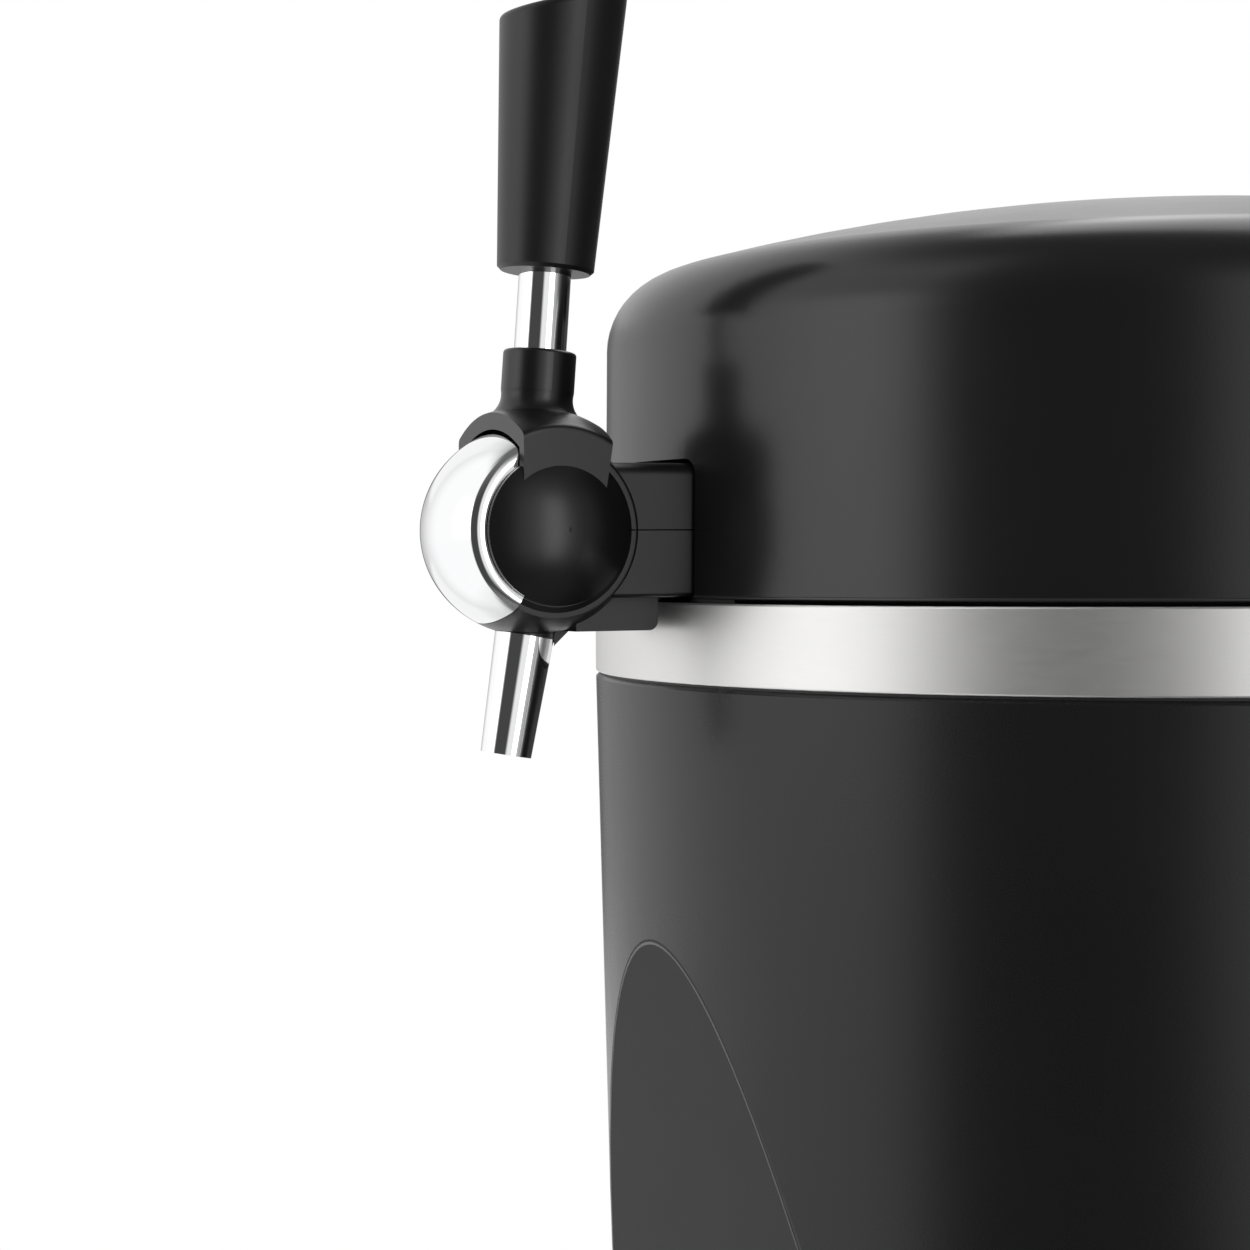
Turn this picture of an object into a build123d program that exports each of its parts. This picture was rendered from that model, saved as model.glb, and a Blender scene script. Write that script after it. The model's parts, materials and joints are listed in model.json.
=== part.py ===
from build123d import *
import os
from math import asin, cos, degrees, radians, sin, sqrt, tan

# Counter-top draft beer dispenser for a 5 litre keg, in millimetres.
# +Z is up, the tap is at the front (-Y), the floor is z = 0.

# Fits
FIT = 0.2  # gap between fixed pieces that slide together
RUNNING = 0.05  # radial gap of a shaft or screw in its hole

# Cabinet
BODY_TOP = 285.0  # bottom of the steel band
BODY_TAPER = 0.021  # radius lost for each millimetre below the band
SHELL_WALL = 3.0
SHELL_SEAM = 0.6  # dark line between shell and band
SHELL_EDGE = 0.8  # chamfer of the shell's top edge
FACET_DROP = 58.0  # from the band down to the top of the slanted front face
FACET_LEAN = 10.0  # degrees, inwards towards the floor
CREST_SOFT = 3.0  # rounding of the edge round the slanted face
BAND_H = 17.4
BAND_T = 1.0
BAND_EDGE = 0.4

# Base
FOOT_H = 6.0
FOOT_R = 9.0
FOOT_EDGE = 1.2
FOOT_RECESS = 3.0
FOOT_INSET = 18.0  # rear feet, in from the plinth's edge
FOOT_TRAY_INSET = 13.2  # front feet, in from the shelf's round front
FOOT_SWING = 32.5  # degrees, front feet ahead of the shelf's widest place
FOOT_SCREW_SKIN = 1.0  # left over each foot's screw hole
PLINTH_H = 16.0
PLINTH_INSET = 1.5
PLINTH_WALL = 3.0
SPIGOT_H = 8.0  # ring that locates the shell
DECK_T = 3.0
DECK_CABLE_R = 8.0
SHELF_T = 6.0  # shelf under the drip tray
BASE_VENT_W = 46.0
BASE_VENT_ROWS = 5
BASE_VENT_FRONT = 10.0

# Control board
BOARD_W = 80.0
BOARD_D = 50.0
BOARD_T = 1.6
BOARD_BACK = 62.0
BOARD_POST_H = 5.0
BOARD_POST_R = 3.0
BOARD_POST_IN = 5.0
COIL_W = 26.0
COIL_D = 22.0
COIL_H = 11.0
COIL_EDGE = 2.0
CAPACITOR_R = 4.0
CAPACITOR_H = 10.0
TERMINAL_W = 22.0
TERMINAL_D = 8.0
TERMINAL_H = 8.0

# Keg chamber
KEG_R = 86.0
KEG_ROOM = 2.0
LINER_T = 1.2
LINER_CORNER = 8.0
LINER_FLANGE = 8.0
FOAM_FLOOR = 6.0
COLLAR_DROP = 0.6  # collar top below the band's top edge
COLLAR_WALL = 2.5
COLLAR_PLATE = 3.0
COLLAR_DEPTH = 16.0
COLLAR_SPIGOT = 8.0

# Cooler behind the chamber
PELTIER = 40.0
PELTIER_T = 3.6
BLOCK_LAP = 5.0  # cold block beyond the Peltier module
COLD_BLOCK_T = 4.0
SINK_LAP = 2.0  # heat sink beyond the fan
SINK_BASE = 3.0
SINK_FIN_H = 8.8
SINK_FIN_T = 1.2
SINK_FINS = 14
FAN = 60.0
FAN_T = 10.0
FAN_CORNER = 4.0
FAN_RIM = 3.0
FAN_TIP_GAP = 1.2
FAN_EDGE_GAP = 0.6
FAN_HUB_R = 11.0
FAN_STRUT = 3.0
FAN_STRUT_T = 1.6
FAN_BLADES = 7
FAN_BLADE_T = 1.4
FAN_BLADE_ROOT = 1.0  # how deep a blade starts in the hub
FAN_PITCH = 35.0
FAN_SHAFT_R = 1.5
FAN_SCREW_IN = 5.0  # screws, in from the fan's edge
SCREW_R = 1.5
SCREW_HEAD_R = 2.8
SCREW_HEAD_H = 1.6

# Rear panel, switch and cord gland
PANEL_T = 2.5
PANEL_SIDE = 5.9  # panel beyond the fan, sideways
PANEL_LAP = 3.0  # how far the panel lies behind the shell's edge
PANEL_OVER = 60.0  # panel top above the fan's middle
OPENING_CORNER = 5.0
VENT_SLOT = 3.2
VENT_PITCH = 6.4
VENT_ROWS = 8
VENT_W = 40.0
INTAKE_W = 44.0
INTAKE_ROWS = 3
INLET_RISE = 23.0  # switch and gland above the deck
INTAKE_RISE = 26.0  # lower vents above the switch
COOLER_RISE = 48.0  # fan's middle above the lower vents
INLET_X = 15.0  # switch and gland, each side of the middle
SWITCH_W = 11.0
SWITCH_H = 19.0
SWITCH_RIM = 2.2
SWITCH_WALL = 1.0
SWITCH_DEPTH = 9.0
SWITCH_CORNER = 1.5
SWITCH_THROW = 16.0  # degrees from off to on
ROCKER_SINK = 3.0  # rocker's pivot below the panel's face
ROCKER_PIN_R = 1.0
ROCKER_GAP = 0.4
ROCKER_FACE = 4.4  # ends of the rocker's face above its pivot
ROCKER_DIP = 1.6
ROCKER_ROOT = 3.0
GLAND_BORE_R = 3.6
GLAND_WALL = 1.6
GLAND_FLANGE = 2.3
GLAND_FLANGE_T = 2.5
GLAND_DRAFT = 12.0  # degrees
GLAND_INSIDE = 8.0

# Lid and hinge
LID_STEP = 2.3  # lid's face behind the band's face
LID_DRAFT = 1.0  # radius lost from the lid's foot to its shoulder
LID_GAP = 1.0
LID_H = 90.6
LID_DOME_R = 466.0
LID_CORNER = 18.2
LID_CORNER_LEAST = 1.0
LID_WALL = 2.6
LID_FOAM = 12.0
LID_LINER_T = 2.0
LID_FLANGE_LIFT = 0.6
SEAL_INSET = 13.2
SEAL_W = 5.0
SEAL_GAP = 0.3
SEAL_EDGE = 0.8
KNUCKLE_R = 5.0
HINGE_ROOM = 1.5  # knuckle behind the cabinet's face
HINGE_RISE = 1.6  # hinge axis above the band
HINGE_PIN_R = 2.0
HINGE_W = 64.0
HINGE_MID_W = 26.0
HINGE_SIDE_GAP = 0.4
HINGE_SCREW_X = 22.0
HINGE_SCREW_DROP = 5.4  # bracket screws below the collar
HINGE_CORNER = 6.0
BRACKET_EDGE = 7.0  # bracket below its screws
BRACKET_T = 4.0
LEAF_RISE = 34.0
LEAF_T = 3.5
PIN_HEAD_R = 3.2
PIN_HEAD_T = 1.5

# Tap
DRUM_R = 22.6
DRUM_CROWN = 4.0  # radius lost from the drum's middle to its sides
DRUM_HALF_W = 16.1
DRUM_WALL = 1.7
DRUM_RIM = 1.2  # width of the groove round the drum's side
DRUM_GROOVE = 0.6  # depth of that groove
DRUM_BEVEL = 1.2  # slope of the ring inside the groove
DRUM_LAND = 0.4  # flat top of that ring
DRUM_RECESS = 1.1  # depth of the recess in the drum's side
DRUM_DISC_T = 1.7
COVER_START = 10.0  # degrees from straight up, towards the front
COVER_END = 151.0
COVER_GAP = 0.5  # degrees
SEAM = 0.3
ARM_INSET = 0.6  # arm's side behind the drum's side
ARM_HALF_H = 14.4
ARM_LIFT = 1.3  # arm above the band
ARM_WALL = 2.2
ARM_EDGE = 3.0
ARM_ROOM = 4.0  # arm's inner end beyond the liner's flange
HOOK_HALF_W = 10.0
HOOK_DROP = 7.2
HOOK_L = 19.2
HOOK_GAP = 2.2
HOOK_EDGE = 2.0
TAP_SCREW_IN = 12.0  # screws beyond the arm's inner end
TAP_SCREW_DEPTH = 9.0
TAP_BOSS_R = 3.3
NOTCH_GAP = 1.0
NOTCH_EDGE = 4.0

# Valve, spout and beer line
PLUG_R = 9.0
PLUG_JOURNAL_R = 6.5
PLUG_SHOULDER = 0.85  # journal beyond the square's corners
PLUG_PORT_R = 3.2
STUB_R = 4.0
STUB_BORE_R = 3.0
STUB_OUT = 13.8  # hose stub beyond the valve body
HOSE_WALL = 1.5
HOSE_ROOM = 0.75
SEAL_RING_R = 0.85
SEAL_RING_IN = 2.3  # from the plug's end
SPOUT_TILT = 10.0
SPOUT_SET = 2.9  # spout's line behind the tap axis
SPOUT_LIP = 0.3  # spout's shoulder below the drum
SPOUT_OUT = 25.9
SPOUT_TOP_R = 6.4
SPOUT_TIP_R = 5.5
SPOUT_STEM_R = 5.0
SPOUT_STEM_ROOM = 3.2  # between the plug and the spout's stem
SPOUT_BORE_R = 3.8
GUSSET_HALF_W = 3.0
BARB_RIDGES = 3
BARB_RIDGE = 0.8
BARB_L = 9.0
BARB_FLANGE_R = 7.0
BARB_FLANGE_T = 2.0

# Lever
LEVER_LEAN = 4.5
LEVER_PULL = 50.0  # degrees forward to the open tap
LEVER_ROOM = 3.8  # yoke before the lid
EAR_GAP = 0.5
EAR_T = 2.4
EAR_HALF_W = 8.6  # at the tap axis
EAR_TOP_HALF_W = 10.8
SADDLE_GAP = 0.7
SADDLE_T = 3.4
SADDLE_SIDE_T = 2.5
SADDLE_EDGE = 1.5
NECK_R = 7.9
NECK_FLARE = 2.4
NECK_FLARE_H = 3.3
NECK_H = 12.0
ROD_R = 5.65
ROD_TENON_R = 4.0
ROD_SHOWN = 17.0
HANDLE_SINK = 18.0
HANDLE_LOW_R = 10.45
HANDLE_TOP_R = 13.45
HANDLE_L = 54.3
HANDLE_SLANT = 16.0
HANDLE_CHAMFER = 0.8
HANDLE_EDGE = 1.6
CAP_GAP = 0.3
CAP_SIDE_GAP = 1.5
CAP_EDGE = 1.1
CAP_DOME = 5.0

# Drip tray and grid
TRAY_R = 82.0
TRAY_STRAIGHT = 27.1  # from the tray's back to its round front
TRAY_H = 23.5
TRAY_WALL = 2.4
TRAY_FLOOR = 2.4
TRAY_CORNER = 8.0
TRAY_EDGE = 1.0
TRAY_BACK_GAP = 0.8
TRAY_SEAT = 0.3
GRID_T = 1.6
GRID_LEDGE = 2.2
GRID_DROP = 1.2
GRID_GAP = 0.5
GRID_SLOT = 4.0
GRID_PITCH = 8.0
GRID_BORDER = 7.0
GRID_RIB = 5.0  # middle rib between the two fields of slots

# Heights worked out from the sizes
PLINTH_TOP = FOOT_H + PLINTH_H
BASE_FLOOR = FOOT_H + PLINTH_WALL
DECK_TOP = PLINTH_TOP + SPIGOT_H + DECK_T
LINER_FOOT = DECK_TOP + FOAM_FLOOR
INLET_Z = DECK_TOP + INLET_RISE
INTAKE_Z = INLET_Z + INTAKE_RISE
COOLER_Z = INTAKE_Z + COOLER_RISE
PANEL_Z1 = COOLER_Z + PANEL_OVER
FACET_TOP = BODY_TOP - FACET_DROP
SHELL_TOP = BODY_TOP - SHELL_SEAM
BAND_TOP = BODY_TOP + BAND_H
COLLAR_TOP = BAND_TOP - COLLAR_DROP
LID_FOOT = BAND_TOP + LID_GAP
LID_APEX = LID_FOOT + LID_H
FLANGE_Z0 = LID_FOOT + LID_FLANGE_LIFT
HINGE_Z = BAND_TOP + HINGE_RISE
HINGE_SCREW_Z = SHELL_TOP - COLLAR_SPIGOT - HINGE_SCREW_DROP
LEAF_SCREW_Z = HINGE_Z + LEAF_RISE / 2
TAP_Z = BAND_TOP + ARM_LIFT + ARM_HALF_H
TRAY_Z0 = FOOT_H + SHELF_T + TRAY_SEAT
TRAY_Z1 = TRAY_Z0 + TRAY_H
GRID_Z1 = TRAY_Z1 - GRID_DROP
GRID_Z0 = GRID_Z1 - GRID_T

# The cooler stands behind the keg, and the cabinet is as round as its flat rear panel needs.
LINER_R = KEG_R + KEG_ROOM
LINER_OUT = LINER_R + LINER_T
FLANGE_R = LINER_R + LINER_FLANGE
COLD_BLOCK = PELTIER + 2 * BLOCK_LAP
SINK = FAN + 2 * SINK_LAP
FAN_BORE_R = FAN / 2 - FAN_RIM
FAN_SCREW_SPAN = FAN - 2 * FAN_SCREW_IN
SINK_Y0 = LINER_OUT + COLD_BLOCK_T + PELTIER_T
FAN_Y0 = SINK_Y0 + SINK_BASE + SINK_FIN_H + FIT
PANEL_Y0 = FAN_Y0 + FAN_T
PANEL_Y1 = PANEL_Y0 + PANEL_T
PANEL_HALF_W = FAN / 2 + PANEL_SIDE
INNER_LOW_R = sqrt(PANEL_Y1**2 + PANEL_HALF_W**2) + FIT
BODY_R = INNER_LOW_R + SHELL_WALL + BODY_TAPER * (BODY_TOP - DECK_TOP)
LID_R = BODY_R - LID_STEP
LID_TOP_R = LID_R - LID_DRAFT
HINGE_OUT = BODY_R + HINGE_ROOM + KNUCKLE_R
GLAND_R = GLAND_BORE_R + GLAND_WALL

# Tap radii, from the drum outwards and inwards
DRUM_SIDE_R = DRUM_R - DRUM_CROWN
DRUM_RIM_R = DRUM_SIDE_R - DRUM_RIM
DRUM_RING_R = DRUM_RIM_R - DRUM_BEVEL
DRUM_RECESS_R = DRUM_RING_R - DRUM_LAND
DRUM_CAVITY_R = DRUM_SIDE_R - DRUM_WALL
DISC_X = DRUM_HALF_W - DRUM_RECESS
DRUM_CAVITY_X = DISC_X - DRUM_DISC_T
PLUG_X = DRUM_CAVITY_X - FIT
PLUG_SQUARE = sqrt(2) * (PLUG_JOURNAL_R - PLUG_SHOULDER)
VALVE_R = DRUM_CAVITY_R - FIT
EAR_IN = DRUM_HALF_W + EAR_GAP
EAR_OUT = EAR_IN + EAR_T
CAP_R = DRUM_RIM_R - CAP_SIDE_GAP
CAP_IN = DRUM_HALF_W + CAP_GAP
CAP_RIM = CAP_IN + CAP_EDGE
CAP_APEX = CAP_RIM + CAP_DOME
SADDLE_R = DRUM_R + SADDLE_GAP + SADDLE_T
SADDLE_SIDE_R = DRUM_SIDE_R + SADDLE_GAP + SADDLE_SIDE_T
SPOUT_SHOULDER = DRUM_R + SPOUT_LIP
SPOUT_STEM_START = PLUG_R + SPOUT_STEM_ROOM
SPOUT_L = SPOUT_SHOULDER + SPOUT_OUT
ROD_FOOT = SADDLE_R + NECK_FLARE_H
NECK_TOP = SADDLE_R + NECK_H
HANDLE_START = NECK_TOP + ROD_SHOWN
HANDLE_FRONT = HANDLE_START + HANDLE_L
ARM_HALF_W = DRUM_HALF_W - ARM_INSET
ARM_INNER = FLANGE_R + ARM_ROOM
HOSE_BORE = STUB_R + RUNNING
TAP_SCREW_X = HOSE_BORE + HOSE_WALL + HOSE_ROOM + TAP_BOSS_R
TAP_SCREW_FRONT = ARM_INNER + TAP_SCREW_IN
TAP_REACH = LID_R + SADDLE_R + LEVER_ROOM  # tap axis in front of the cabinet axis


def shell_radius(z):
    return BODY_R - BODY_TAPER * (BODY_TOP - z)


def inner_radius(z):
    return shell_radius(z) - SHELL_WALL


def facet_front(z):
    """Front distance of the slanted face at a height."""
    return shell_radius(FACET_TOP) - tan(radians(FACET_LEAN)) * (FACET_TOP - z)


# The tray stands against the slanted face, and the cabinet axis behind the footprint's middle.
TRAY_BACK = facet_front(TRAY_Z1) + TRAY_BACK_GAP
TRAY_CENTRE = TRAY_BACK + TRAY_STRAIGHT
TRAY_FRONT = TRAY_CENTRE + TRAY_R
AXIS_Y = (TRAY_FRONT - HINGE_OUT - KNUCKLE_R) / 2
TAP_Y = AXIS_Y - TAP_REACH
TAP_AT = (0, TAP_Y, TAP_Z)
CABINET_AXIS = Axis((0, AXIS_Y, 0), (0, 0, 1))
TAP_AXIS = Axis(TAP_AT, (1, 0, 0))

# Working planes: PROFILE reads (radius, height), SIDE reads (front distance, height).
PROFILE = Plane(origin=(0, AXIS_Y, 0), x_dir=(1, 0, 0), z_dir=(0, -1, 0))
SIDE = Plane(origin=(0, AXIS_Y, 0), x_dir=(0, -1, 0), z_dir=(-1, 0, 0))
TAP_SIDE = Plane(origin=TAP_AT, x_dir=(0, -1, 0), z_dir=(-1, 0, 0))

LEAN_SIN = sin(radians(LEVER_LEAN))
LEAN_COS = cos(radians(LEVER_LEAN))
LEVER_AXIS = Axis(TAP_AT, (0, LEAN_SIN, LEAN_COS))
LEVER_PROFILE = Plane(origin=TAP_AT, x_dir=(1, 0, 0), z_dir=(0, -LEAN_COS, LEAN_SIN))
LEVER_SIDE = Plane(origin=TAP_AT, x_dir=(0, -LEAN_COS, LEAN_SIN), z_dir=(-1, 0, 0))

TILT_SIN = sin(radians(SPOUT_TILT))
TILT_COS = cos(radians(SPOUT_TILT))
SPOUT_AT = (0, TAP_Y + SPOUT_SET, TAP_Z)
SPOUT_AXIS = Axis(SPOUT_AT, (0, -TILT_SIN, -TILT_COS))
SPOUT_PROFILE = Plane(origin=SPOUT_AT, x_dir=(1, 0, 0), z_dir=(0, TILT_COS, -TILT_SIN))

os.makedirs("parts", exist_ok=True)


def level(z):
    """Plan view at a height, centred on the cabinet axis."""
    return Plane(origin=(0, AXIS_Y, z))


def front_view(distance):
    """Upright view at a distance in front of the cabinet axis."""
    return Plane(origin=(0, AXIS_Y - distance, 0), x_dir=(1, 0, 0), z_dir=(0, -1, 0))


def tap_plane(turn):
    """Half plane through the tap axis, turned forward from straight up."""
    a = radians(turn)
    return Plane(origin=TAP_AT, x_dir=(1, 0, 0), z_dir=(0, -cos(a), -sin(a)))


def finish(piece, label):
    """Name a finished piece and write it."""
    piece.part.label = label
    export_step(piece.part, f"parts/{label}.step")


def ring_profile(points):
    """Closed outline of straight sides, at its own coordinates."""
    Polygon(*points, align=None)


def facet_cut(inset):
    """Everything in front of the slanted face, moved inwards by a wall."""
    shift = inset / cos(radians(FACET_LEAN))
    top = BODY_TOP
    ring_profile(
        [
            (facet_front(0) - shift, 0),
            (facet_front(top) - shift, top),
            (2 * BODY_R, top),
            (2 * BODY_R, 0),
        ]
    )


def cut_circle(radius, front):
    """Round plan cut straight across the front."""
    Circle(radius)
    with Locations((0, -front)):
        Rectangle(2 * radius, radius, align=(Align.CENTER, Align.MAX), mode=Mode.SUBTRACT)


def tray_plan(inset, back, corner=0):
    """Plan of the tray: straight across the back, half round in front."""
    width = 2 * (TRAY_R - inset)
    with Locations((0, -TRAY_CENTRE)):
        Circle(TRAY_R - inset)
    with Locations((0, -back)):
        Rectangle(width, TRAY_CENTRE - back, align=(Align.CENTER, Align.MAX))
        Rectangle(width, width, align=(Align.CENTER, Align.MIN), mode=Mode.SUBTRACT)
    if corner:
        fillet(vertices().group_by(Axis.Y)[-1], radius=corner)


def tap_screw_circles(radius):
    """Plan of the two places where a screw holds the tap arm down."""
    with Locations((TAP_SCREW_X, -TAP_SCREW_FRONT), (-TAP_SCREW_X, -TAP_SCREW_FRONT)):
        Circle(radius)


def rear_screw_circles(z, radius):
    """Rear view of the two screws of a hinge half, at a height."""
    with Locations((HINGE_SCREW_X, z), (-HINGE_SCREW_X, z)):
        Circle(radius)


def dome_profile(inset, foot):
    """Half section of the lid's outer form, moved inwards by an inset."""
    low = LID_R - inset
    high = LID_TOP_R - inset
    apex = LID_APEX - inset
    dome = LID_DOME_R - inset
    corner_z = apex - dome + sqrt(dome**2 - high**2)
    mid_r = high / 2
    mid_z = apex - dome + sqrt(dome**2 - mid_r**2)
    with BuildLine() as outline:
        Polyline((0, apex), (0, foot), (low, foot), (high, corner_z))
        ThreePointArc((high, corner_z), (mid_r, mid_z), (0, apex))
    make_face(outline.edges())
    corner = vertices().sort_by_distance((high, corner_z, 0))[0]
    fillet(corner, radius=max(LID_CORNER - inset, LID_CORNER_LEAST))


def crown(half_width, middle, side, foot=0):
    """Section under a crowned arc, from a radius up."""
    with BuildLine() as outline:
        ThreePointArc((-half_width, side), (0, middle), (half_width, side))
        Polyline((half_width, side), (half_width, foot), (-half_width, foot), (-half_width, side))
    make_face(outline.edges())


# Base pan: plinth, shelf under the tray, ring that locates the shell
PLINTH_R = shell_radius(PLINTH_TOP) - PLINTH_INSET
PLINTH_FRONT = facet_front(PLINTH_TOP) - PLINTH_INSET
SPIGOT_R = inner_radius(PLINTH_TOP) - FIT
SPIGOT_FRONT = facet_front(PLINTH_TOP) - SHELL_WALL / cos(radians(FACET_LEAN)) - FIT
FOOT_BACK = (PLINTH_R - FOOT_INSET) / sqrt(2)
FOOT_FRONT_X = (TRAY_R - FOOT_TRAY_INSET) * cos(radians(FOOT_SWING))
FOOT_FRONT_Y = TRAY_CENTRE + (TRAY_R - FOOT_TRAY_INSET) * sin(radians(FOOT_SWING))
FEET = [
    (FOOT_BACK, FOOT_BACK),
    (-FOOT_BACK, FOOT_BACK),
    (FOOT_FRONT_X, -FOOT_FRONT_Y),
    (-FOOT_FRONT_X, -FOOT_FRONT_Y),
]
FOOT_SCREW_UP = SHELF_T - FOOT_SCREW_SKIN

with BuildPart() as base_pan:
    with BuildSketch(level(FOOT_H)):
        cut_circle(PLINTH_R, PLINTH_FRONT)
    extrude(amount=PLINTH_H)
    with BuildSketch(level(PLINTH_TOP)):
        cut_circle(SPIGOT_R, SPIGOT_FRONT)
    extrude(amount=SPIGOT_H)
    with BuildSketch(level(BASE_FLOOR)):
        cut_circle(SPIGOT_R - PLINTH_WALL, SPIGOT_FRONT - PLINTH_WALL)
    extrude(amount=PLINTH_H + SPIGOT_H, mode=Mode.SUBTRACT)
    with BuildSketch(level(FOOT_H)):
        tray_plan(0, PLINTH_FRONT)
    extrude(amount=SHELF_T)
    with BuildSketch(level(BASE_FLOOR)):
        with Locations(*FEET[:2]):
            Circle(FOOT_R / 2)
    extrude(amount=FOOT_SCREW_UP)
    with BuildSketch(level(BASE_FLOOR)):
        with Locations((0, BOARD_BACK)):
            with GridLocations(BOARD_W - 2 * BOARD_POST_IN, BOARD_D - 2 * BOARD_POST_IN, 2, 2):
                Circle(BOARD_POST_R)
    extrude(amount=BOARD_POST_H)
    with BuildSketch(level(FOOT_H)):
        with Locations((0, -BASE_VENT_FRONT)):
            with GridLocations(1, 2 * VENT_PITCH, 1, BASE_VENT_ROWS):
                SlotOverall(BASE_VENT_W, VENT_SLOT)
    extrude(amount=PLINTH_WALL, mode=Mode.SUBTRACT)
    with BuildSketch(level(FOOT_H)):
        with Locations(*FEET):
            Circle(SCREW_R + RUNNING)
    extrude(amount=FOOT_SCREW_UP, mode=Mode.SUBTRACT)
finish(base_pan, "base_pan")

# Four rubber feet, each with a recess for its screw
with BuildPart() as rubber_feet:
    with BuildSketch(level(0)):
        with Locations(*FEET):
            Circle(FOOT_R)
    extrude(amount=FOOT_H)
    chamfer(rubber_feet.edges().group_by(Axis.Z)[0], length=FOOT_EDGE)
    with BuildSketch(level(0)):
        with Locations(*FEET):
            Circle(SCREW_HEAD_R + FIT)
    extrude(amount=FOOT_RECESS, mode=Mode.SUBTRACT)
    with BuildSketch(level(0)):
        with Locations(*FEET):
            Circle(SCREW_R + RUNNING)
    extrude(amount=FOOT_H, mode=Mode.SUBTRACT)
finish(rubber_feet, "rubber_feet")

with BuildPart() as foot_screws:
    with BuildSketch(level(FOOT_RECESS - SCREW_HEAD_H)):
        with Locations(*FEET):
            Circle(SCREW_HEAD_R)
    extrude(amount=SCREW_HEAD_H)
    with BuildSketch(level(FOOT_RECESS)):
        with Locations(*FEET):
            Circle(SCREW_R)
    extrude(amount=FOOT_H - FOOT_RECESS + FOOT_SCREW_UP - FIT)
finish(foot_screws, "foot_screws")

# Deck that carries the chamber
DECK_CABLE_BACK = (LINER_OUT + PANEL_Y0) / 2
with BuildPart() as base_deck:
    with BuildSketch(level(DECK_TOP - DECK_T)):
        cut_circle(SPIGOT_R, SPIGOT_FRONT)
        with Locations((0, DECK_CABLE_BACK)):
            Circle(DECK_CABLE_R, mode=Mode.SUBTRACT)
    extrude(amount=DECK_T)
finish(base_deck, "base_deck")

# Control board on its posts in the base
BOARD_Z = BASE_FLOOR + BOARD_POST_H
with BuildPart() as power_board:
    with BuildSketch(level(BOARD_Z)):
        with Locations((0, BOARD_BACK)):
            Rectangle(BOARD_W, BOARD_D)
    extrude(amount=BOARD_T)
    with BuildSketch(level(BOARD_Z + BOARD_T)):
        with Locations((-BOARD_W / 5, BOARD_BACK)):
            RectangleRounded(COIL_W, COIL_D, COIL_EDGE)
    extrude(amount=COIL_H)
    with BuildSketch(level(BOARD_Z + BOARD_T)):
        with Locations((BOARD_W / 6, BOARD_BACK - BOARD_D / 6)):
            with GridLocations(3 * CAPACITOR_R, 1, 3, 1):
                Circle(CAPACITOR_R)
    extrude(amount=CAPACITOR_H)
    with BuildSketch(level(BOARD_Z + BOARD_T)):
        with Locations((BOARD_W / 6, BOARD_BACK + BOARD_D / 4)):
            Rectangle(TERMINAL_W, TERMINAL_D)
    extrude(amount=TERMINAL_H)
finish(power_board, "power_board")

OPENING_HALF_W = PANEL_HALF_W - PANEL_LAP
OPENING_Z0 = DECK_TOP + 2 * PANEL_LAP
OPENING_Z1 = PANEL_Z1 - PANEL_LAP

# Body shell: tapered round wall with the slanted front face and the rear opening
with BuildPart() as shell_space:
    with BuildSketch(PROFILE):
        ring_profile(
            [
                (0, PLINTH_TOP),
                (inner_radius(PLINTH_TOP), PLINTH_TOP),
                (inner_radius(SHELL_TOP), SHELL_TOP),
                (0, SHELL_TOP),
            ]
        )
    revolve(axis=CABINET_AXIS)
    with BuildSketch(SIDE):
        facet_cut(SHELL_WALL)
    extrude(amount=BODY_R, both=True, mode=Mode.SUBTRACT)

with BuildPart() as body_shell:
    with BuildSketch(PROFILE):
        ring_profile(
            [
                (0, PLINTH_TOP),
                (shell_radius(PLINTH_TOP), PLINTH_TOP),
                (shell_radius(SHELL_TOP), SHELL_TOP),
                (0, SHELL_TOP),
            ]
        )
    revolve(axis=CABINET_AXIS)
    chamfer(body_shell.edges().group_by(Axis.Z)[-1], length=SHELL_EDGE)
    with BuildSketch(SIDE):
        facet_cut(0)
    extrude(amount=BODY_R, both=True, mode=Mode.SUBTRACT)
    facet = body_shell.faces().filter_by(GeomType.PLANE).filter_by(Axis.Z, reverse=True)[0]
    fillet(facet.edges().filter_by(GeomType.LINE, reverse=True), radius=CREST_SOFT)
    add(shell_space.part, mode=Mode.SUBTRACT)
    with BuildSketch(front_view(-BODY_R)):
        with Locations((0, (OPENING_Z0 + OPENING_Z1) / 2)):
            RectangleRounded(2 * OPENING_HALF_W, OPENING_Z1 - OPENING_Z0, OPENING_CORNER)
    extrude(amount=BODY_R / 2, both=True, mode=Mode.SUBTRACT)
    with BuildSketch(front_view(-BODY_R)):
        rear_screw_circles(HINGE_SCREW_Z, SCREW_R + RUNNING)
    extrude(amount=BODY_R / 4, both=True, mode=Mode.SUBTRACT)
finish(body_shell, "body_shell")

# Steel band round the rim
with BuildPart() as steel_band:
    with BuildSketch(PROFILE):
        with Locations((BODY_R - BAND_T, BODY_TOP)):
            Rectangle(BAND_T, BAND_H, align=(Align.MIN, Align.MIN))
        fillet(vertices().group_by(Axis.X)[-1], radius=BAND_EDGE)
    revolve(axis=CABINET_AXIS)
finish(steel_band, "steel_band")

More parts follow.
